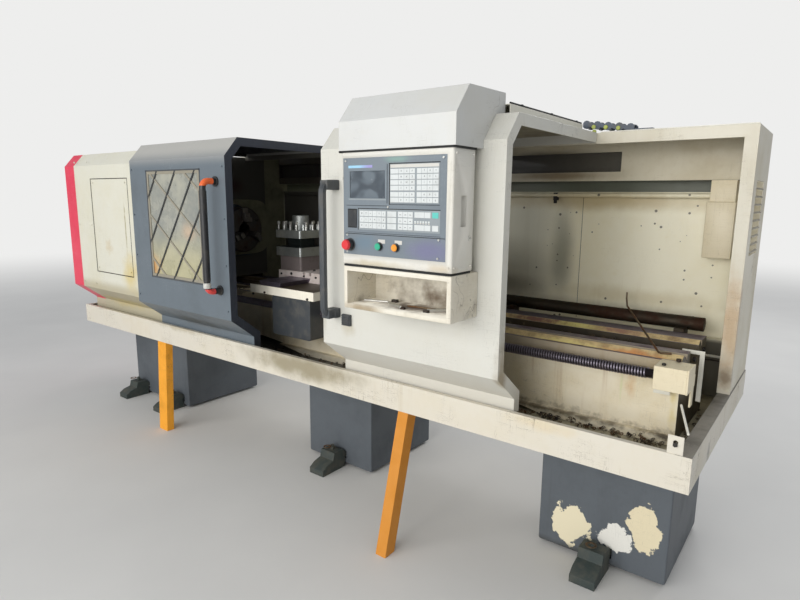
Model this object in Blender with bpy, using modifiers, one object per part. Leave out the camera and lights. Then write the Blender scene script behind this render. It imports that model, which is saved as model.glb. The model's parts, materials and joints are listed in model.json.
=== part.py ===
"""A CNC turning lathe: three pedestals, a chip pan, a flat bed with prismatic ways,
a belt-driven spindle, a carriage with a four-sided tool post, a tailstock, and a
sheet guard with two sliding doors, one of which carries the control console.

Metres. +X runs along the spindle axis to the tailstock end, +Y to the back, +Z up.
The origin is on the floor, under the middle of the machine.
"""

from math import acos, atan2, cos, pi, radians, sin, tau

import bmesh
import bpy
from mathutils import Matrix, Vector

# Stock and fits
SHEET = 0.003
GAP = 0.0003
BEARING_GAP = 0.0006
RUNNING_GAP = 0.0015
OVERRUN = 0.02
TURN_STEPS = 32
ARC_STEPS = 5
HEX_STEPS = 6
SLIM_STEPS = 16
WELD = 0.00001
EDGE_ANGLE = radians(40)
SMOOTH_ANGLE = radians(35)

# Overall envelope
HALF_LENGTH = 1.876
BACK_REACH_Y = 0.718
PAN_REAR_Y = 0.690
ROOF_Z = 1.675

# Pedestals and levelling mounts
PEDESTAL_LIFT = 0.012
PEDESTAL_WALL = 0.020
PEDESTAL_EDGE = 0.010
PEDESTAL_FRONT_Y = -0.075
PEDESTAL_REAR_Y = 0.450
LEFT_PEDESTAL_X = (-1.840, -1.190)
LEFT_PEDESTAL_FRONT_Y = -0.120
MIDDLE_PEDESTAL_X = (-0.081, 0.368)
RIGHT_PEDESTAL_X = (1.280, 1.776)
POCKET_WIDTH = 0.104
POCKET_SILL_Z = 0.040
POCKET_HEAD_Z = 0.085
POCKET_END_MARGIN = 0.105
MOUNT_WIDTH = 0.096
MOUNT_LENGTH = 0.170
MOUNT_HEIGHT = 0.100
MOUNT_TOE_HEIGHT = 0.030
MOUNT_STAND_OFF = 0.006
MOUNT_SCREW_RADIUS = 0.011
MOUNT_SCREW_PLACE_SHARE = 0.3
MOUNT_SCREW_HEIGHT_SHARES = (0.5, 1.25)
MOUNT_BACK_SHARES = ((1, 0), (1, 0.3), (0.82, 0.5), (0.56, 0.62), (0.5, 1), (0.12, 1))

# Chip pan
PAN_FRONT_Y = -0.425
PAN_UNDERSIDE_Z = 0.562
PAN_HEIGHT = 0.113
PAN_LIP = 0.020
PAN_END_LIP = 0.045
TRACK_WIDTH = 0.045
TRACK_DROP = 0.0153

# Bed and its ways
BED_X = (-1.680, 1.760)
BED_FRONT_Y = -0.075
BED_REAR_Y = 0.340
BED_TOP_Z = 0.880
BED_FOOT_HEIGHT = 0.030
BED_FOOT_TOE = 0.030
WAY_OVERHANG = 0.020
WAY_FACE = 0.050
VEE_RISE = 0.016
FRONT_VEE_HALF = 0.027
REAR_VEE_HALF = 0.020
VEE_SHOULDER = 0.018
FLAT_DROP = 0.008
GUTTER_WIDTH = 0.015
GUTTER_DROP = 0.030
INNER_FLAT_WIDTH = 0.050
REAR_FLAT_WIDTH = 0.090
REAR_VEE_SHOULDER = 0.005
RIB_DROP = 0.080
RIB_WIDTH = 0.030
RIB_PITCH = 0.850
RIB_POCKET_INSET = 0.005
ARCH_RISE = 0.050

# Spindle line
SPINDLE_Y = 0.140
CENTRE_HEIGHT = 0.315
HEADSTOCK_X = (-1.660, -1.030)
HEADSTOCK_Y = (-0.090, 0.355)
HEADSTOCK_HEIGHT = 0.570
HEADSTOCK_EDGE = 0.030
NOSE_BOSS_WIDTH = 0.350
NOSE_BOSS_EDGE = 0.060
NOSE_BOSS_LENGTH = 0.045
SPINDLE_RADIUS = 0.070
SPINDLE_BORE = 0.040
SPINDLE_TAIL_X = -1.805
PULLEY_WIDTH = 0.060
PULLEY_RIM = 0.006
SPINDLE_PULLEY_RADIUS = 0.110
MOTOR_PULLEY_RADIUS = 0.070
BELT_WIDTH = 0.046
BELT_THICKNESS = 0.008
BELT_GAP = 0.0009
MOTOR_Y = 0.165
MOTOR_Z = 0.270
MOTOR_RADIUS = 0.105
MOTOR_LENGTH = 0.300
MOTOR_SHAFT_RADIUS = 0.024
MOTOR_SHAFT_STAND = 0.065
MOTOR_FOOT_WIDTH = 0.120
MOTOR_FIN_COUNT = 18
MOTOR_FIN_DEPTH = 0.008
MOTOR_FIN_SHARES = (0, 0.6)

# Chuck
CHUCK_RADIUS = 0.1425
CHUCK_LENGTH = 0.115
CHUCK_CHAMFER = 0.008
CHUCK_BORE = 0.042
SLOT_WIDTH = 0.034
SLOT_DEPTH = 0.030
JAW_STEPS = 3
JAW_RISE = 0.020
JAW_RUN = 0.026
JAW_INNER_RADIUS = 0.052
JAW_OUTER_RADIUS = 0.136
JAW_COUNT = 3

# Feed screw
SCREW_Y = -0.160
SCREW_Z = 0.828
SCREW_RADIUS = 0.019
SCREW_JOURNAL_RADIUS = 0.0125
SCREW_JOURNAL_LENGTH = 0.040
FEED_BLOCK_X = (-1.080, -0.980)
FEED_MOTOR_WIDTH = 0.110
FEED_MOTOR_LENGTH = 0.200
BEARING_X = (1.700, 1.805)
BEARING_HALF_WIDTH = 0.040
BEARING_HALF_HEIGHT = 0.040
END_PLATE_DROP = 0.060
END_PLATE_WIDTH = 0.100

# Carriage
SADDLE_X = (-0.316, 0.160)
SADDLE_FRONT_Y = -0.260
SADDLE_TOP_Z = 0.951
SADDLE_WING = 0.044
SADDLE_NOTCH = 0.070
DOVETAIL_X = (-0.245, -0.075)
DOVETAIL_RISE = 0.024
DOVETAIL_UNDERCUT = 0.014
APRON_X = (-0.160, 0.120)
APRON_Y = (-0.245, -0.105)
APRON_HEIGHT = 0.206
APRON_EDGE = 0.012
CROSS_SLIDE_X = (-0.325, -0.005)
CROSS_SLIDE_Y = (-0.055, 0.270)
CROSS_SLIDE_HEIGHT = 0.055
TEE_SLOT_WIDTH = 0.016
TEE_SLOT_DEPTH = 0.018
POST_X = -0.240
POST_Y = 0.040
POST_FOOT_HALF = 0.085
POST_FOOT_EDGE = 0.012
POST_FOOT_HEIGHT = 0.079
TURRET_WIDTH = 0.200
TURRET_EDGE = 0.012
TURRET_LOWER = 0.049
TURRET_SLOT = 0.049
TURRET_UPPER = 0.042
TURRET_SLOT_DEPTH = 0.048
TURRET_CAP_RADIUS = 0.045
TURRET_CAP_HEIGHT = 0.077
CLAMP_RADIUS = 0.008
CLAMP_HEIGHT = 0.030
CLAMPS_PER_SIDE = 3

# Tailstock
TAILSTOCK_X = (0.420, 0.800)
TAILSTOCK_BASE_HEIGHT = 0.070
TAILSTOCK_BARREL_RADIUS = 0.078
TAILSTOCK_WAIST_HALF = 0.055
QUILL_RADIUS = 0.037
QUILL_STAND = 0.020
CENTRE_TIP = 0.060
CENTRE_RADIUS = 0.020
WHEEL_RADIUS = 0.095
WHEEL_RIM = 0.011
WHEEL_HUB_RADIUS = 0.022
WHEEL_STAND = 0.050
WHEEL_SPOKES = 3

# Guard profile, shared by both doors and the headstock cover
DOOR_FACE_Y = -0.525
DOOR_BACK_Y = 0.262
CHAMFER_RUN = 0.075
CHAMFER_DROP = 0.088
SKIRT_TOP_Z = 0.816
SKIRT_RUN = 0.130
SKIRT_DROP = 0.101
DOOR_FLANGE = 0.040
SLIM_FLANGE = 0.018
LEFT_DOOR_X = (-0.974, -0.126)
RIGHT_DOOR_X = (0.494, 1.298)
WINDOW_X = (-0.805, -0.330)
WINDOW_Z = (0.977, 1.528)
WINDOW_FRAME = 0.014
PANE_THICKNESS = 0.004
PANE_MARGIN = 0.015
LATTICE_BAR = 0.010
LATTICE_ANGLE = radians(54)
LATTICE_PITCHES = (0.137, 0.185)
HANDLE_RADIUS = 0.015
HANDLE_REACH = 0.072
HANDLE_BEND = 0.030
LEFT_HANDLE_X = -0.199
LEFT_HANDLE_Z = (0.958, 1.473)
RIGHT_HANDLE_X = 0.571
RIGHT_HANDLE_Z = (0.952, 1.453)

# Fixed covers
COVER_INSET = 0.024
COVER_X = (-1.700, -1.000)
COVER_BACK_Y = 0.420
END_COVER_X = -1.826
ACCESS_X = (-1.492, -1.062)
ACCESS_Z = (0.942, 1.497)
ACCESS_RECESS = 0.0015
ROOF_FRONT_Y = 0.2655
GUARD_OUTER_X = 1.872
GUARD_FLANGE = 0.045
VENT_Y = (0.355, 0.570)
VENT_Z = (1.200, 1.480)
WALL_Y = 0.590
WALL_TOP_Z = 1.440
LEDGE_Z = 0.820
LEDGE_RUN = 0.030
WALL_RIB_COUNT = 4
WALL_RIB_WIDTH = 0.040
WALL_RIB_DEPTH = 0.030
RAIL_RADIUS = 0.011
RAIL_Z = 1.424
RAIL_STAND = 0.022
BEAM_Y = (0.550, 0.620)
BEAM_BOTTOM_Z = 1.488
BEAM_BACK_DROP = 0.058
BEAM_BACK_THICKNESS = 0.006
DUCT_END_X = 1.316
DUCT_Z = (1.530, 1.617)
DUCT_DEPTH = 0.030
CORNER_BOX_X = (1.686, 1.792)
CORNER_BOX_Z = (1.170, 1.400)
CORNER_BOX_DEPTH = 0.090
REAR_TUBE_X = (-0.700, 1.735)
REAR_TUBE_Y = 0.440
REAR_TUBE_Z = 0.900
REAR_TUBE_RADIUS = 0.029
TUBE_SADDLE_WIDTH = 0.040
TUBE_SADDLE_HEIGHT = 0.030
TUBE_SADDLE_COUNT = 4

# Electrical cabinet at the back of the headstock
CABINET_X = (-1.800, -1.040)
CABINET_FRONT_Y = 0.4203
CABINET_TOP_Z = 1.672
CABINET_DOOR_THICKNESS = 0.020
CABINET_LIFT = 0.020
CABINET_HINGE_RADIUS = 0.007
DRIVE_COUNT = 3
DRIVE_WIDTH = 0.140
DRIVE_HEIGHT = 0.320
DRIVE_DEPTH = 0.130

# Console on the right door
CONSOLE_X = (0.759, 1.212)
CONSOLE_FRONT_Y = -0.688
CONSOLE_DEPTH = 0.124
CONSOLE_Z = (1.177, 1.559)
CONSOLE_EDGE = 0.006
CONSOLE_POST_WIDTH = 0.040
CONSOLE_POST_MARGIN = 0.030
PANEL_X = (0.766, 1.188)
PANEL_Z = (1.213, 1.536)
PANEL_THICKNESS = 0.012
SCREEN_X = (0.795, 0.949)
SCREEN_Z = (1.404, 1.493)
SCREEN_RECESS = 0.004
KEYBOARD_X = (0.971, 1.162)
KEYBOARD_Z = (1.389, 1.512)
KEYBOARD_RISE = 0.0015
BUTTON_Z = 1.246
BUTTON_X = (0.797, 0.927, 0.997)
STOP_CAP_RADIUS = 0.019
BUTTON_CAP_RADIUS = 0.012
BUTTON_STEM_RADIUS = 0.007
BUTTON_CAP_LENGTH = 0.010
BUTTON_STAND = 0.005
STOP_CAP_LENGTH = 0.025
BUTTON_EDGE_SHARE = 0.7
BUTTON_CROWN_SHARE = 0.8
PULL_Y = (-0.643, -0.611)
PULL_Z = (1.320, 1.415)
PULL_DEPTH = 0.012
HOOD_X = (0.747, 1.217)
HOOD_FRONT_Y = -0.690
HOOD_SEAM = 0.002
HOOD_FACE = 0.095
HOOD_SLOPE_RUN = 0.070
HOOD_SLOPE_RISE = 0.087
HOOD_TOP_RISE = 0.005
HOOD_BACK_Y = -0.390
TRAY_X = (0.764, 1.212)
TRAY_Z = (1.020, 1.170)
TRAY_FRAME = 0.016
TRAY_BACK = 0.006
DUCT_ON_ROOF_X = (1.175, 1.235)
DUCT_ON_ROOF_HEIGHT = 0.038

# Drag chain on the fixed roof
CHAIN_START_X = 1.215
CHAIN_Y = (0.300, 0.360)
CHAIN_PITCH = 0.045
CHAIN_HEIGHT = 0.034
CHAIN_RISE = 0.022
CHAIN_RISE_SHARES = (1.0, 0.77, 0.5, 0.27, 0.0)
CHAIN_FOOT_HEIGHT = 0.012
CHAIN_FOOT_LENGTH = 0.085
CHAIN_SIDE = 0.006
CHAIN_BAR = 0.012
CHAIN_LEAN = radians(30)

# Loose and small pieces
PROP_SECTION_X = 0.050
PROP_SECTION_Y = 0.060
RIGHT_PROP_X = 0.832
RIGHT_PROP_FOOT_Y = -0.535
RIGHT_PROP_TOP_Y = -0.393
LEFT_PROP_WIDTH = 0.085
LEFT_PROP_THICKNESS = 0.045
LEFT_PROP_TOP_X = -0.955
LEFT_PROP_FOOT_X = -1.000
LEFT_PROP_Y = -0.395
BRACKET_INSET = 0.070
BRACKET_WIDTH = 0.044
BRACKET_HEIGHT = 0.058
BRACKET_FOOT = 0.036
BRACKET_HOLE = 0.007
BRACKET_HOLE_SHARE = 0.65
HOOK_RADIUS = 0.004
HOOK_VEE_X = 1.672
HOOK_TUBE_X = 1.428
HOOK_TAIL = 0.030
HOOK_TIP_RISE = 0.055
HOOK_TOE = 0.040

# Places that follow from the sizes above
PAN_FLOOR_Z = PAN_UNDERSIDE_Z + SHEET
PAN_RIM_Z = PAN_UNDERSIDE_Z + PAN_HEIGHT
TRACK_Z = PAN_RIM_Z - TRACK_DROP
SEAT_Z = PAN_FLOOR_Z + GAP
SPINDLE_Z = BED_TOP_Z + CENTRE_HEIGHT
WAY_BASE_Z = BED_TOP_Z - WAY_FACE
WAY_SHOULDER_Z = BED_TOP_Z - VEE_RISE
FLAT_Z = BED_TOP_Z - FLAT_DROP
FRONT_WAY_Y = BED_FRONT_Y - WAY_OVERHANG
FRONT_VEE_Y = FRONT_WAY_Y + VEE_SHOULDER + FRONT_VEE_HALF
FRONT_WAY_END_Y = FRONT_VEE_Y + FRONT_VEE_HALF + VEE_SHOULDER
INNER_FLAT_Y = FRONT_WAY_END_Y + GUTTER_WIDTH
TROUGH_Y = INNER_FLAT_Y + INNER_FLAT_WIDTH
REAR_WAY_Y = BED_REAR_Y + WAY_OVERHANG
REAR_FLAT_Y = REAR_WAY_Y - REAR_FLAT_WIDTH
REAR_VEE_END_Y = REAR_FLAT_Y - GUTTER_WIDTH
REAR_VEE_Y = REAR_VEE_END_Y - REAR_VEE_SHOULDER - REAR_VEE_HALF
TROUGH_END_Y = REAR_VEE_Y - REAR_VEE_HALF - REAR_VEE_SHOULDER
CHUCK_BACK_X = HEADSTOCK_X[1] + NOSE_BOSS_LENGTH + RUNNING_GAP
CHUCK_FACE_X = CHUCK_BACK_X + CHUCK_LENGTH
PULLEY_X = (SPINDLE_TAIL_X + 2 * PULLEY_RIM, SPINDLE_TAIL_X + 2 * PULLEY_RIM + PULLEY_WIDTH)
CROSS_SLIDE_TOP_Z = SADDLE_TOP_Z + GAP + CROSS_SLIDE_HEIGHT
TURRET_Z = CROSS_SLIDE_TOP_Z + GAP + POST_FOOT_HEIGHT + GAP
TURRET_HEIGHT = TURRET_LOWER + TURRET_SLOT + TURRET_UPPER
DOOR_INNER_Y = DOOR_FACE_Y + SHEET

PLANES = {
    "xy": Matrix.Identity(4),
    "xz": Matrix.Rotation(pi / 2, 4, "X"),
    "yz": Matrix(((0, 0, 1, 0), (1, 0, 0, 0), (0, 1, 0, 0), (0, 0, 0, 1))),
}


def clear_scene():
    """Remove every object that the open file holds."""
    for item in list(bpy.data.objects):
        bpy.data.objects.remove(item, do_unlink=True)


def new_collection(name):
    """Make a collection below the scene's own."""
    group = bpy.data.collections.new(name)
    bpy.context.scene.collection.children.link(group)
    return group


def paint(name, colour, roughness, metallic=0.0):
    """Make a plain Principled material."""
    material = bpy.data.materials.new(name)
    material.use_nodes = True
    shader = material.node_tree.nodes["Principled BSDF"]
    shader.inputs["Base Color"].default_value = (*colour, 1.0)
    shader.inputs["Roughness"].default_value = roughness
    shader.inputs["Metallic"].default_value = metallic
    return material


def spread(count, low, high):
    """Give count places spaced evenly from low to high."""
    return [low + (high - low) * index / (count - 1) for index in range(count)]


def arc(centre, radius, start, end, steps=ARC_STEPS):
    """Give the points of an arc about a centre in a plane."""
    angles = spread(steps + 1, start, end)
    return [(centre[0] + radius * cos(a), centre[1] + radius * sin(a)) for a in angles]


def rounded_box(low, high, radius):
    """Give a rectangle's outline with four round corners."""
    centres = (
        (high[0] - radius, high[1] - radius, 0),
        (low[0] + radius, high[1] - radius, 1),
        (low[0] + radius, low[1] + radius, 2),
        (high[0] - radius, low[1] + radius, 3),
    )
    outline = []
    for u, v, quarter in centres:
        outline += arc((u, v), radius, quarter * pi / 2, (quarter + 1) * pi / 2)
    return outline


def shifted(line, distance):
    """Move an open line to its left by a distance, with mitred corners."""
    points = [Vector(point) for point in line]
    steps = [(b - a).normalized() for a, b in zip(points, points[1:])]
    sides = [Vector((-step.y, step.x)) for step in steps]
    moved = [points[0] + sides[0] * distance]
    for point, before, after in zip(points[1:], sides, sides[1:]):
        mitre = before + after
        moved.append(point + mitre * (2 * distance / mitre.length_squared))
    moved.append(points[-1] + sides[-1] * distance)
    return moved


def lengthened(line, start, end):
    """Lengthen the first and last stretches of an open line, or shorten them below zero."""
    points = [Vector(point) for point in line]
    points[0] += (points[0] - points[1]).normalized() * start
    points[-1] += (points[-1] - points[-2]).normalized() * end
    return points


def band(line, depth):
    """Give the closed outline between a line and its copy shifted to the left."""
    return list(line) + list(reversed(shifted(line, depth)))


def raw_object(name, mesh):
    """Link a mesh as an object among the cutters until it is finished."""
    item = bpy.data.objects.new(name, mesh)
    CUTTERS.objects.link(item)
    item.hide_render = True
    item.display_type = "WIRE"
    return item


def settled_mesh(item):
    """Give an object's evaluated mesh, welded and with its faces pointing out."""
    bpy.context.view_layer.update()
    view = bpy.context.evaluated_depsgraph_get()
    mesh = bpy.data.meshes.new_from_object(item.evaluated_get(view))
    form = bmesh.new()
    form.from_mesh(mesh)
    bmesh.ops.remove_doubles(form, verts=form.verts, dist=WELD)
    bmesh.ops.recalc_face_normals(form, faces=form.faces)
    form.to_mesh(mesh)
    form.free()
    return mesh


def prism(name, outline, low, high, plane, holes=()):
    """Extrude a filled outline from low to high, square to the named plane."""
    curve = bpy.data.curves.new(name, "CURVE")
    curve.dimensions = "2D"
    curve.fill_mode = "BOTH"
    curve.extrude = (high - low) / 2
    for ring in (outline, *holes):
        spline = curve.splines.new("POLY")
        spline.points.add(len(ring) - 1)
        spline.use_cyclic_u = True
        for point, (u, v) in zip(spline.points, ring):
            point.co = (u, v, 0, 1)
    flat = raw_object(name + "_outline", curve)
    middle = (low + high) / 2
    lift = -middle if plane == "xz" else middle
    mesh = settled_mesh(flat)
    mesh.transform(PLANES[plane] @ Matrix.Translation((0, 0, lift)))
    bpy.data.objects.remove(flat, do_unlink=True)
    return raw_object(name, mesh)


def block(name, low, high):
    """Make a box from one corner to the opposite one."""
    low, high = Vector(low), Vector(high)
    form = bmesh.new()
    bmesh.ops.create_cube(form, size=1)
    bmesh.ops.scale(form, vec=high - low, verts=form.verts)
    bmesh.ops.translate(form, vec=(low + high) / 2, verts=form.verts)
    return finished_form(name, form)


def blocks(name, corners):
    """Make several boxes that stand apart as one mesh, for a single cut or union."""
    form = bmesh.new()
    for low, high in corners:
        low, high = Vector(low), Vector(high)
        made = bmesh.ops.create_cube(form, size=1)["verts"]
        bmesh.ops.scale(form, vec=high - low, verts=made)
        bmesh.ops.translate(form, vec=(low + high) / 2, verts=made)
    return finished_form(name, form)


def finished_form(name, form):
    """Turn a bmesh into an object."""
    mesh = bpy.data.meshes.new(name)
    form.to_mesh(mesh)
    form.free()
    return raw_object(name, mesh)


AXES = {
    "x": Matrix.Rotation(pi / 2, 4, "Y"),
    "y": Matrix.Rotation(-pi / 2, 4, "X"),
    "z": Matrix.Identity(4),
}


def rods(name, places, radius, low, high, axis, steps=TURN_STEPS):
    """Make round bars that stand apart as one mesh, each from low to high along an axis."""
    form = bmesh.new()
    for place in places:
        turn = Matrix.Translation(place) @ AXES[axis]
        lift = Matrix.Translation((0, 0, (low + high) / 2))
        bmesh.ops.create_cone(
            form,
            cap_ends=True,
            segments=steps,
            radius1=radius,
            radius2=radius,
            depth=high - low,
            matrix=turn @ lift,
        )
    return finished_form(name, form)


def turned(name, profile, axis, place, closed=False, steps=TURN_STEPS):
    """Turn a profile of (radius, height) points, top first, about an axis through place."""
    form = bmesh.new()
    points = [form.verts.new((radius, 0, height)) for radius, height in profile]
    for start, end in zip(points, points[1:]):
        form.edges.new((start, end))
    if closed:
        form.edges.new((points[-1], points[0]))
    item = finished_form(name, form)
    screw = item.modifiers.new("Turn", "SCREW")
    screw.steps = steps
    screw.render_steps = steps
    screw.use_merge_vertices = True
    screw.merge_threshold = WELD
    screw.use_smooth_shade = True
    item.matrix_world = Matrix.Translation(place) @ AXES[axis]
    return item


def rounded(item, width, segments=2, limit=EDGE_ANGLE):
    """Round an object's sharp edges."""
    bevel = item.modifiers.new("Edges", "BEVEL")
    bevel.width = width
    bevel.segments = segments
    bevel.limit_method = "ANGLE"
    bevel.angle_limit = limit
    return item


def combined(item, operation, others, solver="EXACT"):
    """Cut an object by others, or unite it with them."""
    for other in others:
        step = item.modifiers.new(operation.title(), "BOOLEAN")
        step.operation = operation
        step.solver = solver
        step.object = other
    return item


def cut(item, *tools):
    """Cut the tools out of an object."""
    return combined(item, "DIFFERENCE", tools)


def united(item, *others):
    """Unite an object with others."""
    return combined(item, "UNION", others)


def keep(name, item, material, pivot=None):
    """Finish a piece: bake its form, place its origin on its pivot and file it."""
    mesh = settled_mesh(item)
    mesh.transform(item.matrix_world)
    origin = Vector(pivot or (0, 0, 0))
    mesh.transform(Matrix.Translation(-origin))
    mesh.materials.clear()
    mesh.materials.append(material)
    mesh.shade_smooth()
    mesh.set_sharp_from_angle(angle=SMOOTH_ANGLE)
    mesh.name = name
    piece = bpy.data.objects.new(name, mesh)
    piece.location = origin
    MACHINE.objects.link(piece)
    return piece


def wire(name, points, radius, steps=3):
    """Make a round bar along a line of points, with its ends capped and welded."""
    curve = bpy.data.curves.new(name, "CURVE")
    curve.dimensions = "3D"
    curve.bevel_depth = radius
    curve.bevel_resolution = steps
    curve.use_fill_caps = True
    spline = curve.splines.new("POLY")
    spline.points.add(len(points) - 1)
    for point, place in zip(spline.points, points):
        point.co = (*place, 1)
    bar = raw_object(name + "_line", curve)
    mesh = settled_mesh(bar)
    bpy.data.objects.remove(bar, do_unlink=True)
    return raw_object(name, mesh)


def folded_panel(name, line, low, high, plane, depth, start_lip=True, end_lip=True):
    """Fold a sheet along a line, with side flanges and, where asked, a lip at each end."""
    outer = prism(name, band(line, depth), low, high, plane)
    inner = lengthened(
        shifted(line, SHEET),
        -SHEET if start_lip else OVERRUN,
        -SHEET if end_lip else OVERRUN,
    )
    hollow = prism(name + "_hollow", band(inner, depth), low + SHEET, high - SHEET, plane)
    return cut(outer, hollow)


def guard_line(inset=0, back=DOOR_BACK_Y, foot=TRACK_Z + GAP):
    """Give the side line of the guard, from the back of its roof down to its foot."""
    outer = [
        (back, ROOF_Z),
        (DOOR_FACE_Y + CHAMFER_RUN, ROOF_Z),
        (DOOR_FACE_Y, ROOF_Z - CHAMFER_DROP),
        (DOOR_FACE_Y, SKIRT_TOP_Z),
        (DOOR_FACE_Y + SKIRT_RUN, SKIRT_TOP_Z - SKIRT_DROP),
        (DOOR_FACE_Y + SKIRT_RUN, foot),
    ]
    return shifted(outer, inset)


def pedestal(name, span, front):
    """Cast a hollow pedestal with foot pockets at the front and the back."""
    low, high = span
    body = block(
        name + "_body",
        (low, front, PEDESTAL_LIFT),
        (high, PEDESTAL_REAR_Y, PAN_UNDERSIDE_Z - GAP),
    )
    rounded(body, PEDESTAL_EDGE)
    hollow = block(
        name + "_hollow",
        (low + PEDESTAL_WALL, front + PEDESTAL_WALL, PEDESTAL_LIFT - OVERRUN),
        (high - PEDESTAL_WALL, PEDESTAL_REAR_Y - PEDESTAL_WALL, PAN_UNDERSIDE_Z - PEDESTAL_WALL),
    )
    pockets = blocks(
        name + "_pockets",
        [
            (
                (x - POCKET_WIDTH / 2, front - OVERRUN, POCKET_SILL_Z),
                (x + POCKET_WIDTH / 2, PEDESTAL_REAR_Y + OVERRUN, POCKET_HEAD_Z),
            )
            for x in pocket_places(span)
        ],
    )
    tools = [hollow, pockets]
    if name == "pedestal_left":
        tools.append(belt_slot(name + "_belt_slot"))
    keep(name, cut(body, *tools), PEDESTAL_PAINT)


def pocket_places(span):
    """Give the middles of a pedestal's foot pockets: two on a long one, else one."""
    low, high = span
    if high - low > 6 * POCKET_WIDTH:
        return [low + POCKET_END_MARGIN, high - POCKET_END_MARGIN]
    return [(low + high) / 2]


def belt_slot(name):
    """Make the cutter of the slot that the drive belt passes through."""
    half = SPINDLE_PULLEY_RADIUS + BELT_THICKNESS + OVERRUN
    return block(
        name,
        (PULLEY_X[0] - 2 * PULLEY_RIM, SPINDLE_Y - half, PAN_UNDERSIDE_Z - 2 * PEDESTAL_WALL),
        (PULLEY_X[1] + 2 * PULLEY_RIM, SPINDLE_Y + half, PAN_FLOOR_Z + OVERRUN),
    )


def levelling_mount(name, x, face_y, outward):
    """Make a wedge mount whose toe lifts the pedestal in its foot pocket."""
    toe_top = POCKET_HEAD_Z - GAP
    profile = [
        *((MOUNT_LENGTH * run, MOUNT_HEIGHT * rise) for run, rise in MOUNT_BACK_SHARES),
        (MOUNT_STAND_OFF, toe_top),
        (-PEDESTAL_WALL, toe_top),
        (-PEDESTAL_WALL, toe_top - MOUNT_TOE_HEIGHT),
        (MOUNT_STAND_OFF, toe_top - MOUNT_TOE_HEIGHT),
        (MOUNT_STAND_OFF, 0),
    ]
    outline = [(face_y + outward * run, height) for run, height in profile]
    body = prism(name + "_body", outline, x - MOUNT_WIDTH / 2, x + MOUNT_WIDTH / 2, "yz")
    place = (x, face_y + outward * MOUNT_LENGTH * MOUNT_SCREW_PLACE_SHARE, 0)
    low, high = (MOUNT_HEIGHT * share for share in MOUNT_SCREW_HEIGHT_SHARES)
    screw = rods(name + "_screw", [place], MOUNT_SCREW_RADIUS, low, high, "z", HEX_STEPS)
    keep(name, united(body, screw), MOUNT_PAINT)


def chip_pan():
    """Fold the chip pan, with inward lips and the ledge that the doors slide on."""
    body = block(
        "chip_pan_body",
        (-HALF_LENGTH, PAN_FRONT_Y, PAN_UNDERSIDE_Z),
        (HALF_LENGTH, PAN_REAR_Y, PAN_RIM_Z),
    )
    hollow = block(
        "chip_pan_hollow",
        (-HALF_LENGTH + SHEET, PAN_FRONT_Y + SHEET, PAN_FLOOR_Z),
        (HALF_LENGTH - SHEET, PAN_REAR_Y - SHEET, PAN_RIM_Z - SHEET),
    )
    mouth = block(
        "chip_pan_mouth",
        (-HALF_LENGTH + PAN_LIP, PAN_FRONT_Y + PAN_LIP, PAN_FLOOR_Z + SHEET),
        (HALF_LENGTH - PAN_END_LIP, PAN_REAR_Y - PAN_LIP, PAN_RIM_Z + OVERRUN),
    )
    cut(body, hollow, mouth, belt_slot("chip_pan_belt_slot"))
    inner = PAN_FRONT_Y + SHEET / 2
    ledge_profile = [
        (inner, TRACK_Z - SHEET),
        (inner + TRACK_WIDTH - SHEET, TRACK_Z - SHEET),
        (inner + TRACK_WIDTH - SHEET, PAN_FLOOR_Z - SHEET / 2),
        (inner + TRACK_WIDTH, PAN_FLOOR_Z - SHEET / 2),
        (inner + TRACK_WIDTH, TRACK_Z),
        (inner, TRACK_Z),
    ]
    ledge = prism(
        "chip_pan_ledge",
        ledge_profile,
        -HALF_LENGTH + PAN_END_LIP,
        HALF_LENGTH - PAN_END_LIP - OVERRUN,
        "yz",
    )
    keep("chip_pan", united(body, ledge, corner_bracket()), CREAM_PAINT)


def bed():
    """Cast the bed: two walls with prismatic ways, ribs across the trough and arched feet."""
    foot_z = SEAT_Z + BED_FOOT_HEIGHT
    section = [
        (BED_FRONT_Y - BED_FOOT_TOE, SEAT_Z),
        (BED_FRONT_Y - BED_FOOT_TOE, foot_z),
        (BED_FRONT_Y, foot_z),
        (BED_FRONT_Y, WAY_BASE_Z),
        (FRONT_WAY_Y, WAY_BASE_Z),
        (FRONT_WAY_Y, WAY_SHOULDER_Z),
        (FRONT_VEE_Y - FRONT_VEE_HALF, WAY_SHOULDER_Z),
        (FRONT_VEE_Y, BED_TOP_Z),
        (FRONT_VEE_Y + FRONT_VEE_HALF, WAY_SHOULDER_Z),
        (FRONT_WAY_END_Y, WAY_SHOULDER_Z),
        (FRONT_WAY_END_Y, BED_TOP_Z - GUTTER_DROP),
        (INNER_FLAT_Y, BED_TOP_Z - GUTTER_DROP),
        (INNER_FLAT_Y, FLAT_Z),
        (TROUGH_Y, FLAT_Z),
        (TROUGH_Y, BED_TOP_Z - RIB_DROP),
        (TROUGH_END_Y, BED_TOP_Z - RIB_DROP),
        (TROUGH_END_Y, WAY_SHOULDER_Z),
        (REAR_VEE_Y - REAR_VEE_HALF, WAY_SHOULDER_Z),
        (REAR_VEE_Y, BED_TOP_Z),
        (REAR_VEE_Y + REAR_VEE_HALF, WAY_SHOULDER_Z),
        (REAR_VEE_END_Y, WAY_SHOULDER_Z),
        (REAR_VEE_END_Y, BED_TOP_Z - GUTTER_DROP),
        (REAR_FLAT_Y, BED_TOP_Z - GUTTER_DROP),
        (REAR_FLAT_Y, FLAT_Z),
        (REAR_WAY_Y, FLAT_Z),
        (REAR_WAY_Y, WAY_BASE_Z),
        (BED_REAR_Y, WAY_BASE_Z),
        (BED_REAR_Y, foot_z),
        (BED_REAR_Y + BED_FOOT_TOE, foot_z),
        (BED_REAR_Y + BED_FOOT_TOE, SEAT_Z),
    ]
    body = prism("bed_body", section, *BED_X, "yz")
    keep("bed", cut(body, rib_pockets(), foot_arches()), CASTING_PAINT)


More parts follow.
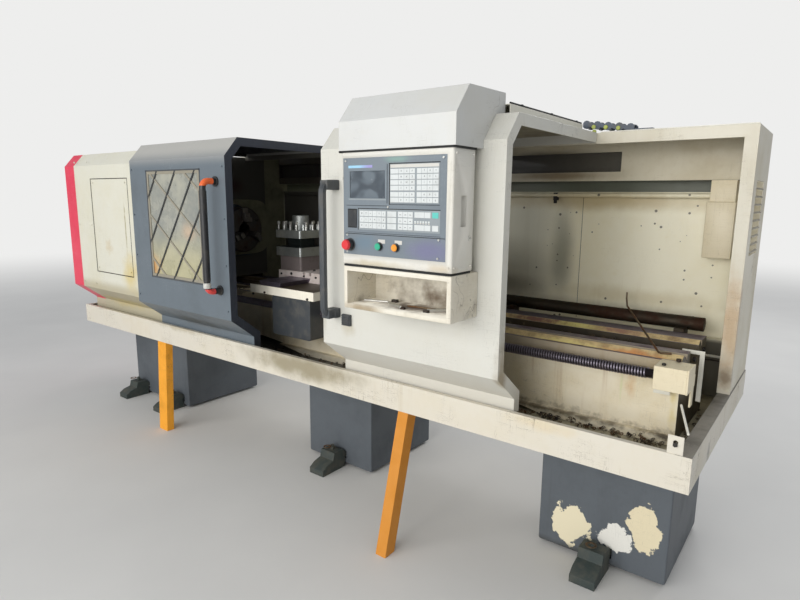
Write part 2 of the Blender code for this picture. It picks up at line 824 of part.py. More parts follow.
def rib_pockets():
    """Make the cutters of the chip openings between the bed's cross ribs."""
    count = int((BED_X[1] - BED_X[0]) / RIB_PITCH)
    pitch = (BED_X[1] - BED_X[0] - RIB_WIDTH) / count
    corners = []
    for index in range(count):
        start = BED_X[0] + RIB_WIDTH + index * pitch
        low = (start, TROUGH_Y + RIB_POCKET_INSET, SEAT_Z - OVERRUN)
        high = (start + pitch - RIB_WIDTH, TROUGH_END_Y - RIB_POCKET_INSET, BED_TOP_Z)
        corners.append((low, high))
    return blocks("bed_rib_pockets", corners)


def foot_arches():
    """Make the cutter of the shallow arches between the pedestals."""
    bays = (
        (LEFT_PEDESTAL_X[1], MIDDLE_PEDESTAL_X[0]),
        (MIDDLE_PEDESTAL_X[1], RIGHT_PEDESTAL_X[0]),
    )
    cutters = []
    for low, high in bays:
        half = (high - low) / 2
        radius = (half**2 + ARCH_RISE**2) / (2 * ARCH_RISE)
        lean = atan2(half, radius - ARCH_RISE)
        crown = arc(
            ((low + high) / 2, SEAT_Z + ARCH_RISE - radius),
            radius,
            pi / 2 - lean,
            pi / 2 + lean,
            4 * ARC_STEPS,
        )
        outline = crown + [(low, SEAT_Z - OVERRUN), (high, SEAT_Z - OVERRUN)]
        reach = BED_FOOT_TOE + OVERRUN
        cutters.append(
            prism("bed_arch", outline, BED_FRONT_Y - reach, BED_REAR_Y + reach, "xz")
        )
    return united(*cutters)


def headstock():
    """Cast the headstock with its square nose boss and the spindle's bore."""
    low_y, high_y = HEADSTOCK_Y
    floor = BED_TOP_Z + GAP
    body = block(
        "headstock_body",
        (HEADSTOCK_X[0], low_y, floor),
        (HEADSTOCK_X[1], high_y, floor + HEADSTOCK_HEIGHT),
    )
    rounded(body, HEADSTOCK_EDGE, 3)
    half = NOSE_BOSS_WIDTH / 2
    boss_outline = rounded_box(
        (SPINDLE_Y - half, SPINDLE_Z - half), (SPINDLE_Y + half, SPINDLE_Z + half), NOSE_BOSS_EDGE
    )
    boss = prism(
        "headstock_boss",
        boss_outline,
        HEADSTOCK_X[1] - 2 * HEADSTOCK_EDGE,
        HEADSTOCK_X[1] + NOSE_BOSS_LENGTH,
        "yz",
    )
    bore = rods(
        "headstock_bore",
        [(0, SPINDLE_Y, SPINDLE_Z)],
        SPINDLE_RADIUS + BEARING_GAP,
        HEADSTOCK_X[0] - OVERRUN,
        CHUCK_BACK_X + OVERRUN,
        "x",
    )
    keep("headstock", cut(united(body, boss), bore), HEADSTOCK_PAINT)


def pulley_rim(radius, low, high):
    """Give a flanged pulley's outer line from its high end to its low end."""
    rim = radius + PULLEY_RIM
    return [
        (rim, high),
        (rim, high - PULLEY_RIM),
        (radius, high - 2 * PULLEY_RIM),
        (radius, low + 2 * PULLEY_RIM),
        (rim, low + PULLEY_RIM),
        (rim, low),
    ]


def pulley_span():
    """Give the pulleys' ends along X, rims included."""
    return PULLEY_X[0] - PULLEY_RIM, PULLEY_X[1] + PULLEY_RIM


def spindle():
    """Turn the hollow spindle with the driven pulley at its tail."""
    low, high = pulley_span()
    profile = [
        (SPINDLE_BORE, CHUCK_BACK_X),
        (SPINDLE_RADIUS, CHUCK_BACK_X),
        (SPINDLE_RADIUS, high),
        *pulley_rim(SPINDLE_PULLEY_RADIUS, low, high),
        (SPINDLE_BORE, low),
    ]
    axis_place = (0, SPINDLE_Y, SPINDLE_Z)
    item = turned("spindle_body", profile, "x", axis_place, closed=True)
    keep("spindle", item, STEEL, axis_place)


def chuck():
    """Turn the chuck body and cut its jaw slots."""
    profile = [
        (CHUCK_BORE, CHUCK_FACE_X),
        (CHUCK_RADIUS - CHUCK_CHAMFER, CHUCK_FACE_X),
        (CHUCK_RADIUS, CHUCK_FACE_X - CHUCK_CHAMFER),
        (CHUCK_RADIUS, CHUCK_BACK_X + GAP),
        (CHUCK_BORE, CHUCK_BACK_X + GAP),
    ]
    axis_place = (0, SPINDLE_Y, SPINDLE_Z)
    body = turned("chuck_body_form", profile, "x", axis_place, closed=True)
    slots = []
    for index in range(JAW_COUNT):
        slot = block(
            "chuck_slot",
            (CHUCK_FACE_X - SLOT_DEPTH, -SLOT_WIDTH / 2, CHUCK_BORE / 2),
            (CHUCK_FACE_X + OVERRUN, SLOT_WIDTH / 2, CHUCK_RADIUS + OVERRUN),
        )
        slot.matrix_world = jaw_turn(index)
        slots.append(slot)
    keep("chuck_body", cut(body, *slots), STEEL, axis_place)


def jaw_turn(index):
    """Give the matrix that carries a piece from the X axis to a jaw's place."""
    turn = Matrix.Rotation(index * tau / JAW_COUNT, 4, "X")
    return Matrix.Translation((0, SPINDLE_Y, SPINDLE_Z)) @ turn


def chuck_jaws():
    """Make the stepped jaws that slide in the chuck's slots."""
    floor = CHUCK_FACE_X - SLOT_DEPTH + GAP
    tip = CHUCK_FACE_X + JAW_STEPS * JAW_RISE
    outline = [(floor, JAW_INNER_RADIUS), (tip, JAW_INNER_RADIUS)]
    for step in range(1, JAW_STEPS):
        radius = JAW_INNER_RADIUS + step * JAW_RUN
        outline += [(tip - (step - 1) * JAW_RISE, radius), (tip - step * JAW_RISE, radius)]
    outline += [(tip - (JAW_STEPS - 1) * JAW_RISE, JAW_OUTER_RADIUS), (floor, JAW_OUTER_RADIUS)]
    half = SLOT_WIDTH / 2 - BEARING_GAP
    for index in range(JAW_COUNT):
        name = f"chuck_jaw_{index + 1}"
        jaw = prism(name + "_form", outline, -half, half, "xz")
        jaw.matrix_world = jaw_turn(index)
        keep(name, jaw, STEEL, (CHUCK_FACE_X, SPINDLE_Y, SPINDLE_Z))


def main_motor():
    """Make the finned main motor with the foot that bolts it to the pedestal."""
    tail = pulley_span()[1] + MOTOR_SHAFT_STAND
    places = []
    for index in range(2 * MOTOR_FIN_COUNT):
        radius = MOTOR_RADIUS - (index % 2) * MOTOR_FIN_DEPTH
        for share in MOTOR_FIN_SHARES:
            angle = (index + share) * pi / MOTOR_FIN_COUNT
            places.append((MOTOR_Y + radius * cos(angle), MOTOR_Z + radius * sin(angle)))
    body = prism("main_motor_body", places, tail, tail + MOTOR_LENGTH, "yz")
    foot = block(
        "main_motor_foot",
        (tail + OVERRUN, MOTOR_Y, MOTOR_Z - MOTOR_FOOT_WIDTH / 2),
        (
            tail + MOTOR_LENGTH - OVERRUN,
            PEDESTAL_REAR_Y - PEDESTAL_WALL - GAP,
            MOTOR_Z + MOTOR_FOOT_WIDTH / 2,
        ),
    )
    bore = rods(
        "main_motor_bore",
        [(0, MOTOR_Y, MOTOR_Z)],
        MOTOR_SHAFT_RADIUS + BEARING_GAP,
        tail - OVERRUN,
        tail + OVERRUN,
        "x",
    )
    keep("main_motor", cut(united(body, foot), bore), MOTOR_PAINT)


def motor_pulley():
    """Turn the driving pulley with the motor's shaft."""
    low, high = pulley_span()
    end = high + MOTOR_SHAFT_STAND + OVERRUN - GAP
    profile = [
        (0, end),
        (MOTOR_SHAFT_RADIUS, end),
        (MOTOR_SHAFT_RADIUS, high),
        *pulley_rim(MOTOR_PULLEY_RADIUS, low, high),
        (0, low),
    ]
    axis_place = (0, MOTOR_Y, MOTOR_Z)
    keep("motor_pulley", turned("motor_pulley_form", profile, "x", axis_place), STEEL, axis_place)


def belt_ring(extra):
    """Give the outline of a line pulled round both pulleys, extra off their faces."""
    top, low = Vector((SPINDLE_Y, SPINDLE_Z)), Vector((MOTOR_Y, MOTOR_Z))
    large, small = SPINDLE_PULLEY_RADIUS + extra, MOTOR_PULLEY_RADIUS + extra
    reach = low - top
    heading = atan2(reach.y, reach.x)
    lean = acos((large - small) / reach.length)
    upper = arc(top, large, heading + lean, heading - lean + tau, 4 * ARC_STEPS)
    lower = arc(low, small, heading - lean, heading + lean, 4 * ARC_STEPS)
    return upper + lower


def drive_belt():
    """Make the drive belt, a flat loop round the two pulleys."""
    middle = (PULLEY_X[0] + PULLEY_X[1]) / 2
    belt = prism(
        "drive_belt_form",
        belt_ring(BELT_GAP + BELT_THICKNESS),
        middle - BELT_WIDTH / 2 + PULLEY_RIM,
        middle + BELT_WIDTH / 2 - PULLEY_RIM,
        "yz",
        holes=[belt_ring(BELT_GAP)],
    )
    keep("drive_belt", belt, RUBBER)


def ball_screw():
    """Turn the feed screw with a journal at each end."""
    low, high = FEED_BLOCK_X[1], BEARING_X[0]
    profile = [
        (0, high + SCREW_JOURNAL_LENGTH),
        (SCREW_JOURNAL_RADIUS, high + SCREW_JOURNAL_LENGTH),
        (SCREW_JOURNAL_RADIUS, high - GAP),
        (SCREW_RADIUS, high - GAP),
        (SCREW_RADIUS, low + GAP),
        (SCREW_JOURNAL_RADIUS, low + GAP),
        (SCREW_JOURNAL_RADIUS, low - SCREW_JOURNAL_LENGTH),
        (0, low - SCREW_JOURNAL_LENGTH),
    ]
    axis_place = (0, SCREW_Y, SCREW_Z)
    keep("ball_screw", turned("ball_screw_form", profile, "x", axis_place), STEEL, axis_place)


def bearing_section():
    """Give the section of a screw bearing that bolts under the bed's front way."""
    wall = BED_FRONT_Y - GAP
    shelf = WAY_BASE_Z - GAP
    front = SCREW_Y - BEARING_HALF_WIDTH
    return [
        (front, SCREW_Z - BEARING_HALF_HEIGHT),
        (wall, SCREW_Z - BEARING_HALF_HEIGHT),
        (wall, shelf),
        (FRONT_WAY_Y - GAP, shelf),
        (FRONT_WAY_Y - GAP, SCREW_Z + BEARING_HALF_HEIGHT),
        (front, SCREW_Z + BEARING_HALF_HEIGHT),
    ]


def journal_bore(name, low, high):
    """Make the cutter of a feed screw journal's bore."""
    radius = SCREW_JOURNAL_RADIUS + BEARING_GAP
    return rods(name, [(0, SCREW_Y, SCREW_Z)], radius, low, high, "x")


def feed_drive():
    """Make the feed screw's driven bearing with its servo motor."""
    low, high = FEED_BLOCK_X
    body = prism("feed_drive_body", bearing_section(), low, high, "yz")
    half = FEED_MOTOR_WIDTH / 2
    shell = rounded_box(
        (SCREW_Y - half, SCREW_Z - half), (SCREW_Y + half, SCREW_Z + half), FEED_MOTOR_WIDTH / 8
    )
    end = low - FEED_MOTOR_LENGTH
    clear_y = BED_FRONT_Y - BED_FOOT_TOE
    shell = [(min(y, clear_y), z) for y, z in shell]
    motor = prism("feed_drive_motor", shell, end, low + OVERRUN, "yz")
    bore = journal_bore("feed_drive_bore", high - SCREW_JOURNAL_LENGTH - GAP, high + OVERRUN)
    keep("feed_drive", cut(united(body, motor), bore), MOTOR_PAINT)


def screw_bearing():
    """Make the feed screw's end bearing with its angled end plate."""
    low, high = BEARING_X
    body = prism("screw_bearing_body", bearing_section(), low, high, "yz")
    top = SCREW_Z + BEARING_HALF_HEIGHT + SHEET
    front = SCREW_Y - BEARING_HALF_WIDTH - SHEET
    back = front + END_PLATE_WIDTH
    plate_outline = [
        (front, top),
        (back, top),
        (back, SCREW_Z - BEARING_HALF_HEIGHT - END_PLATE_DROP),
        (back - END_PLATE_WIDTH / 3, SCREW_Z - BEARING_HALF_HEIGHT - END_PLATE_DROP),
        (back - END_PLATE_WIDTH / 3, SCREW_Z - BEARING_HALF_HEIGHT),
        (front, SCREW_Z - BEARING_HALF_HEIGHT),
    ]
    plate = prism("screw_bearing_plate", plate_outline, high - SHEET, high + SHEET, "yz")
    bore = journal_bore("screw_bearing_bore", low - OVERRUN, low + SCREW_JOURNAL_LENGTH + GAP)
    keep("screw_bearing", cut(united(body, plate), bore), CREAM_PAINT)


def saddle():
    """Make the saddle: fitted to the ways below, with a dovetail across its top."""
    fit = BEARING_GAP
    section = [
        (SADDLE_FRONT_Y, SADDLE_TOP_Z),
        (SADDLE_FRONT_Y, SADDLE_TOP_Z - SADDLE_WING),
        (FRONT_WAY_Y, SADDLE_TOP_Z - SADDLE_WING),
        (FRONT_WAY_Y, WAY_SHOULDER_Z + fit),
        (FRONT_VEE_Y - FRONT_VEE_HALF, WAY_SHOULDER_Z + fit),
        (FRONT_VEE_Y, BED_TOP_Z + fit),
        (FRONT_VEE_Y + FRONT_VEE_HALF, WAY_SHOULDER_Z + fit),
        (FRONT_WAY_END_Y, WAY_SHOULDER_Z + fit),
        (FRONT_WAY_END_Y, BED_TOP_Z + VEE_RISE / 2),
        (REAR_FLAT_Y, BED_TOP_Z + VEE_RISE / 2),
        (REAR_FLAT_Y, FLAT_Z + GAP),
        (REAR_WAY_Y, FLAT_Z + GAP),
        (REAR_WAY_Y, SADDLE_TOP_Z),
    ]
    body = prism("saddle_body", section, *SADDLE_X, "yz")
    low, high = SADDLE_X
    notches = blocks(
        "saddle_notches",
        [
            (
                (end - SADDLE_NOTCH, FRONT_WAY_END_Y, WAY_SHOULDER_Z - OVERRUN),
                (end + SADDLE_NOTCH, REAR_FLAT_Y - GUTTER_WIDTH, SADDLE_TOP_Z + OVERRUN),
            )
            for end in (low, high)
        ],
    )
    rail = prism(
        "saddle_dovetail", dovetail(0, SHEET), SADDLE_FRONT_Y + SHEET, REAR_WAY_Y - SHEET, "xz"
    )
    cut(body, notches)
    keep("saddle", united(body, rail), CASTING_PAINT)


def dovetail(fit, root):
    """Give the dovetail's outline, grown by a fit and sunk below the saddle's top by root."""
    low, high = DOVETAIL_X
    top = SADDLE_TOP_Z + DOVETAIL_RISE + fit
    slope = DOVETAIL_UNDERCUT / DOVETAIL_RISE
    foot = SADDLE_TOP_Z - root
    drop = DOVETAIL_UNDERCUT + root * slope
    return [
        (low - fit, top),
        (high + fit, top),
        (high + fit - drop, foot),
        (low - fit + drop, foot),
    ]


def apron():
    """Make the apron that hangs under the saddle's front wing round the feed screw."""
    top = SADDLE_TOP_Z - SADDLE_WING - GAP
    outline = rounded_box((APRON_X[0], top - APRON_HEIGHT), (APRON_X[1], top), APRON_EDGE)
    body = prism("apron_body", outline, *APRON_Y, "xz")
    bore = rods(
        "apron_bore",
        [(0, SCREW_Y, SCREW_Z)],
        SCREW_RADIUS + BEARING_GAP,
        APRON_X[0] - OVERRUN,
        APRON_X[1] + OVERRUN,
        "x",
    )
    keep("apron", cut(body, bore), APRON_PAINT)


def cross_slide():
    """Make the cross slide with its dovetail groove and tee slots, and the post's foot."""
    low, high = CROSS_SLIDE_X
    floor = SADDLE_TOP_Z + GAP
    body = block(
        "cross_slide_body",
        (low, CROSS_SLIDE_Y[0], floor),
        (high, CROSS_SLIDE_Y[1], CROSS_SLIDE_TOP_Z),
    )
    groove = prism(
        "cross_slide_groove",
        dovetail(BEARING_GAP, OVERRUN / 4),
        CROSS_SLIDE_Y[0] - OVERRUN,
        CROSS_SLIDE_Y[1] + OVERRUN,
        "xz",
    )
    slots = blocks(
        "cross_slide_slots",
        [
            (
                (x - TEE_SLOT_WIDTH / 2, CROSS_SLIDE_Y[0] - OVERRUN, CROSS_SLIDE_TOP_Z - TEE_SLOT_DEPTH),
                (x + TEE_SLOT_WIDTH / 2, CROSS_SLIDE_Y[1] + OVERRUN, CROSS_SLIDE_TOP_Z + OVERRUN),
            )
            for x in (POST_X + POST_FOOT_HALF + TEE_SLOT_WIDTH * n for n in (2, 5))
        ],
    )
    keep("cross_slide", cut(body, groove, slots), CREAM_PAINT)


def tool_post_base():
    """Make the square housing that the tool post indexes on."""
    low = CROSS_SLIDE_TOP_Z + GAP
    corner = (POST_X - POST_FOOT_HALF, POST_Y - POST_FOOT_HALF)
    opposite = (POST_X + POST_FOOT_HALF, POST_Y + POST_FOOT_HALF)
    outline = rounded_box(corner, opposite, POST_FOOT_EDGE)
    keep("tool_post_base", prism("post_base_form", outline, low, low + POST_FOOT_HEIGHT, "xy"), CASTING_PAINT)


def tool_turret():
    """Make the four-sided tool post with its tool slots, clamp screws and cap."""
    half = TURRET_WIDTH / 2
    low, high = TURRET_Z, TURRET_Z + TURRET_HEIGHT
    outline = rounded_box((POST_X - half, POST_Y - half), (POST_X + half, POST_Y + half), TURRET_EDGE)
    body = prism("tool_turret_body", outline, low, high, "xy")
    slot_low, slot_high = low + TURRET_LOWER, low + TURRET_LOWER + TURRET_SLOT
    far, near = half + OVERRUN, half - TURRET_SLOT_DEPTH
    ring = [(POST_X + x * far, POST_Y + y * far) for x, y in ((-1, -1), (1, -1), (1, 1), (-1, 1))]
    core = [(POST_X + x * near, POST_Y + y * near) for x, y in ((-1, -1), (1, -1), (1, 1), (-1, 1))]
    slots = prism("tool_turret_slots", ring, slot_low, slot_high, "xy", holes=[core])
    line = half - TURRET_SLOT_DEPTH / 2
    run = spread(CLAMPS_PER_SIDE, -near, near)
    places = [(POST_X + side * line, POST_Y + step, 0) for side in (-1, 1) for step in run]
    places += [(POST_X + step, POST_Y + side * line, 0) for side in (-1, 1) for step in run]
    crown = high + CLAMP_HEIGHT
    clamps = rods("tool_turret_clamps", places, CLAMP_RADIUS, high - SHEET, crown, "z", HEX_STEPS)
    cap = rods(
        "tool_turret_cap",
        [(POST_X, POST_Y, 0)],
        TURRET_CAP_RADIUS,
        high - SHEET,
        high + TURRET_CAP_HEIGHT,
        "z",
    )
    cut(body, slots)
    keep("tool_turret", united(body, clamps, cap), CASTING_PAINT, (POST_X, POST_Y, low))


def tailstock():
    """Cast the tailstock: a base on the inner ways, a waist and the quill's barrel."""
    low, high = TAILSTOCK_X
    fit = BEARING_GAP
    floor = FLAT_Z + GAP
    shoulder = floor + TAILSTOCK_BASE_HEIGHT
    waist = TAILSTOCK_WAIST_HALF
    section = [
        (INNER_FLAT_Y, floor),
        (TROUGH_Y, floor),
        (TROUGH_Y, BED_TOP_Z + VEE_RISE / 2),
        (TROUGH_END_Y, BED_TOP_Z + VEE_RISE / 2),
        (TROUGH_END_Y, WAY_SHOULDER_Z + fit),
        (REAR_VEE_Y - REAR_VEE_HALF, WAY_SHOULDER_Z + fit),
        (REAR_VEE_Y, BED_TOP_Z + fit),
        (REAR_VEE_Y + REAR_VEE_HALF, WAY_SHOULDER_Z + fit),
        (REAR_VEE_END_Y, WAY_SHOULDER_Z + fit),
        (REAR_VEE_END_Y, shoulder),
        (SPINDLE_Y + waist, shoulder + TAILSTOCK_BASE_HEIGHT / 2),
        (SPINDLE_Y + waist, SPINDLE_Z),
        (SPINDLE_Y - waist, SPINDLE_Z),
        (SPINDLE_Y - waist, shoulder + TAILSTOCK_BASE_HEIGHT / 2),
        (INNER_FLAT_Y, shoulder),
    ]
    body = prism("tailstock_body_form", section, low + OVERRUN, high - OVERRUN, "yz")
    axis_place = (0, SPINDLE_Y, SPINDLE_Z)
    barrel = rods("tailstock_barrel", [axis_place], TAILSTOCK_BARREL_RADIUS, low, high, "x")
    bore = rods(
        "tailstock_bore",
        [axis_place],
        QUILL_RADIUS + BEARING_GAP,
        low - OVERRUN,
        high - 2 * OVERRUN,
        "x",
    )
    screw_hole = rods(
        "tailstock_screw_hole",
        [axis_place],
        WHEEL_HUB_RADIUS + BEARING_GAP,
        high - 3 * OVERRUN,
        high + OVERRUN,
        "x",
    )
    keep("tailstock_body", cut(united(body, barrel), bore, screw_hole), CASTING_PAINT)


def quill():
    """Turn the quill with the dead centre in its nose."""
    low, high = TAILSTOCK_X
    nose = low - QUILL_STAND
    profile = [
        (0, high - 4 * OVERRUN),
        (QUILL_RADIUS, high - 4 * OVERRUN),
        (QUILL_RADIUS, nose),
        (CENTRE_RADIUS, nose),
        (CENTRE_RADIUS, nose - CENTRE_TIP / 2),
        (0, nose - CENTRE_TIP),
    ]
    axis_place = (0, SPINDLE_Y, SPINDLE_Z)
    keep("tailstock_quill", turned("quill_form", profile, "x", axis_place), STEEL, axis_place)


def tailstock_wheel():
    """Make the spoked handwheel on its hub."""
    seat = TAILSTOCK_X[1] - 2 * OVERRUN + GAP
    centre_x = TAILSTOCK_X[1] + WHEEL_STAND
    axis_place = (0, SPINDLE_Y, SPINDLE_Z)
    hub = rods("wheel_hub", [axis_place], WHEEL_HUB_RADIUS, seat, centre_x + WHEEL_RIM, "x")
    ring = [
        (WHEEL_RADIUS + WHEEL_RIM * cos(a), centre_x - WHEEL_RIM * sin(a))
        for a in spread(9, 0, tau)[:-1]
    ]
    rim = turned("wheel_rim", ring, "x", axis_place, closed=True)
    spokes = []
    for index in range(WHEEL_SPOKES):
        angle = index * tau / WHEEL_SPOKES
        spoke = rods(
            "wheel_spoke",
            [(centre_x, 0, 0)],
            WHEEL_RIM / 2,
            WHEEL_HUB_RADIUS / 2,
            WHEEL_RADIUS,
            "z",
            HEX_STEPS,
        )
        turn = Matrix.Rotation(angle, 4, "X")
        spoke.matrix_world = Matrix.Translation((0, SPINDLE_Y, SPINDLE_Z)) @ turn
        spokes.append(spoke)
    keep("tailstock_wheel", united(hub, rim, *spokes), STEEL, (centre_x, SPINDLE_Y, SPINDLE_Z))


def left_door():
    """Fold the left door, with slim flanges where it runs over the cover and a window."""
    low, high = LEFT_DOOR_X
    line = guard_line()
    door = folded_panel("left_door_form", line, low, high, "yz", DOOR_FLANGE)
    slim = lengthened(shifted(line, SLIM_FLANGE), OVERRUN, OVERRUN)
    relief = prism("left_door_relief", band(slim, DOOR_FLANGE), low - OVERRUN, high - DOOR_FLANGE, "yz")
    window = block(
        "left_door_window",
        (WINDOW_X[0], DOOR_FACE_Y - OVERRUN, WINDOW_Z[0]),
        (WINDOW_X[1], DOOR_FACE_Y + SHEET + OVERRUN, WINDOW_Z[1]),
    )
    keep("left_door", cut(door, relief, window), BLUE_PAINT)


def lattice_cells():
    """Make the slanted openings between the crossed bars of the window's lattice."""
    first, second = LATTICE_PITCHES
    turn = Matrix.Rotation(LATTICE_ANGLE, 2)
    centre = Vector(((WINDOW_X[0] + WINDOW_X[1]) / 2, (WINDOW_Z[0] + WINDOW_Z[1]) / 2))
    reach = WINDOW_Z[1] - WINDOW_Z[0]
    columns, rows = int(reach / first) + 1, int(reach / second) + 1
    cells = []
    for column in range(-columns, columns + 1):
        for row in range(-rows, rows + 1):
            middle = Vector((row * second, (column + 1 / 2) * first))
            half = Vector((second - LATTICE_BAR, first - LATTICE_BAR)) / 2
            corners = [(-1, -1), (1, -1), (1, 1), (-1, 1)]
            cell = [centre + turn @ (middle + Vector((u * half.x, v * half.y))) for u, v in corners]
            cells.append(prism("window_cell", cell, DOOR_FACE_Y - OVERRUN, DOOR_INNER_Y + OVERRUN, "xz"))
    return joined("window_cells", cells)


def joined(name, items):
    """Join raw objects that stand apart into one cutter."""
    form = bmesh.new()
    for item in items:
        form.from_mesh(item.data)
        bpy.data.objects.remove(item, do_unlink=True)
    return finished_form(name, form)


def window_grille():
    """Make the window's frame with its lattice of crossed bars."""
    low = (WINDOW_X[0] + GAP, DOOR_FACE_Y, WINDOW_Z[0] + GAP)
    high = (WINDOW_X[1] - GAP, DOOR_INNER_Y - GAP, WINDOW_Z[1] - GAP)
    plate = block("window_plate", low, high)
    inner = block(
        "window_inner",
        (low[0] + WINDOW_FRAME, low[1] - OVERRUN / 2, low[2] + WINDOW_FRAME),
        (high[0] - WINDOW_FRAME, high[1] + OVERRUN / 2, high[2] - WINDOW_FRAME),
    )
    openings = combined(lattice_cells(), "INTERSECT", [inner])
    keep("window_grille", cut(plate, openings), DARK_METAL)


def window_pane():
    """Make the clear pane behind the lattice."""
    near = DOOR_INNER_Y + GAP
    pane = block(
        "window_pane_form",
        (WINDOW_X[0] - PANE_MARGIN, near, WINDOW_Z[0] - PANE_MARGIN),
        (WINDOW_X[1] + PANE_MARGIN, near + PANE_THICKNESS, WINDOW_Z[1] + PANE_MARGIN),
    )
    keep("window_pane", pane, PANE_PLASTIC)


def door_handle(name, x, span):
    """Bend a door's bow handle."""
    low, high = span
    near = DOOR_FACE_Y - GAP
    out = DOOR_FACE_Y - HANDLE_REACH
    bend = HANDLE_BEND
    top = arc((out + bend, high - bend), bend, pi / 2, pi)
    foot = arc((out + bend, low + bend), bend, pi, 3 * pi / 2)
    line = [(near, high), *top, *foot, (near, low)]
    keep(name, wire(name + "_bar", [(x, y, z) for y, z in line], HANDLE_RADIUS), HANDLE_PLASTIC)


def right_door():
    """Fold the right door."""
    door = folded_panel("right_door_form", guard_line(), *RIGHT_DOOR_X, "yz", DOOR_FLANGE)
    keep("right_door", door, CREAM_PAINT)


def cable_duct():
    """Fold the flat cable duct that runs back over the right door's roof."""
    duct = block(
        "cable_duct_form",
        (DUCT_ON_ROOF_X[0], HOOD_BACK_Y + GAP, ROOF_Z + GAP),
        (DUCT_ON_ROOF_X[1], DOOR_BACK_Y, ROOF_Z + DUCT_ON_ROOF_HEIGHT),
    )
    hollow = block(
        "cable_duct_hollow",
        (DUCT_ON_ROOF_X[0] + SHEET, HOOD_BACK_Y + GAP - OVERRUN, ROOF_Z - OVERRUN),
        (DUCT_ON_ROOF_X[1] - SHEET, DOOR_BACK_Y + OVERRUN, ROOF_Z + DUCT_ON_ROOF_HEIGHT - SHEET),
    )
    keep("cable_duct", cut(duct, hollow), CREAM_PAINT)


def cover_ring(inset, foot):
    """Give the closed side outline of the headstock cover."""
    line = guard_line(COVER_INSET + inset, COVER_BACK_Y - inset, foot)
    return [*line, (COVER_BACK_Y - inset, foot)]


def headstock_cover():
    """Fold the headstock cover, with its bulkhead round the spindle nose and the bed."""
    low, high = COVER_X
    foot = SEAT_Z
    shell = prism("cover_form", cover_ring(0, foot), low, high, "yz")
    inner = prism("cover_hollow", cover_ring(SHEET, foot - OVERRUN), low - OVERRUN, high - SHEET, "yz")
    half = NOSE_BOSS_WIDTH / 2 + RUNNING_GAP
    nose = prism(
        "cover_nose_opening",
        rounded_box(
            (SPINDLE_Y - half, SPINDLE_Z - half), (SPINDLE_Y + half, SPINDLE_Z + half), NOSE_BOSS_EDGE
        ),
        high - OVERRUN,
        high + OVERRUN,
        "yz",
    )
    front = SCREW_Y - FEED_MOTOR_WIDTH
    bed_opening = block(
        "cover_bed_opening",
        (high - OVERRUN, front, foot - OVERRUN),
        (high + OVERRUN, REAR_WAY_Y + OVERRUN, BED_TOP_Z + RUNNING_GAP),
    )
    access = block(
        "cover_access_opening",
        (ACCESS_X[0], DOOR_FACE_Y, ACCESS_Z[0]),
        (ACCESS_X[1], DOOR_FACE_Y + COVER_INSET + OVERRUN, ACCESS_Z[1]),
    )
    keep("headstock_cover", cut(shell, inner, nose, bed_opening, access), CREAM_PAINT)


def access_panel():
    """Make the inset panel of the headstock cover."""
    face = DOOR_FACE_Y + COVER_INSET + ACCESS_RECESS
    panel = block(
        "access_panel_form",
        (ACCESS_X[0] + GAP, face, ACCESS_Z[0] + GAP),
        (ACCESS_X[1] - GAP, face + SHEET, ACCESS_Z[1] - GAP),
    )
    keep("access_panel", panel, CREAM_PAINT)


def end_cover():
    """Fold the red cover that closes the machine's left end."""
    foot = SEAT_Z
    shell = prism("end_cover_form", cover_ring(0, foot), END_COVER_X, COVER_X[0] - GAP, "yz")
    inner = prism(
        "end_cover_hollow",
        cover_ring(SHEET, foot - OVERRUN),
        END_COVER_X + SHEET,
        COVER_X[0] + OVERRUN,
        "yz",
    )
    keep("end_cover", cut(shell, inner), RED_PAINT)


def fixed_guard():
    """Fold the fixed roof and right end of the guard, with the end's vent."""
    line = [(GUARD_OUTER_X, PAN_RIM_Z + GAP), (GUARD_OUTER_X, ROOF_Z), (COVER_X[1] + GAP, ROOF_Z)]
    guard = folded_panel(
        "fixed_guard_form", line, ROOF_FRONT_Y, PAN_REAR_Y, "xz", GUARD_FLANGE, end_lip=False
    )
    vent = block(
        "fixed_guard_vent",
        (GUARD_OUTER_X - OVERRUN, VENT_Y[0], VENT_Z[0]),
        (GUARD_OUTER_X + OVERRUN, VENT_Y[1], VENT_Z[1]),
    )
    keep("fixed_guard", cut(guard, vent), CREAM_PAINT)


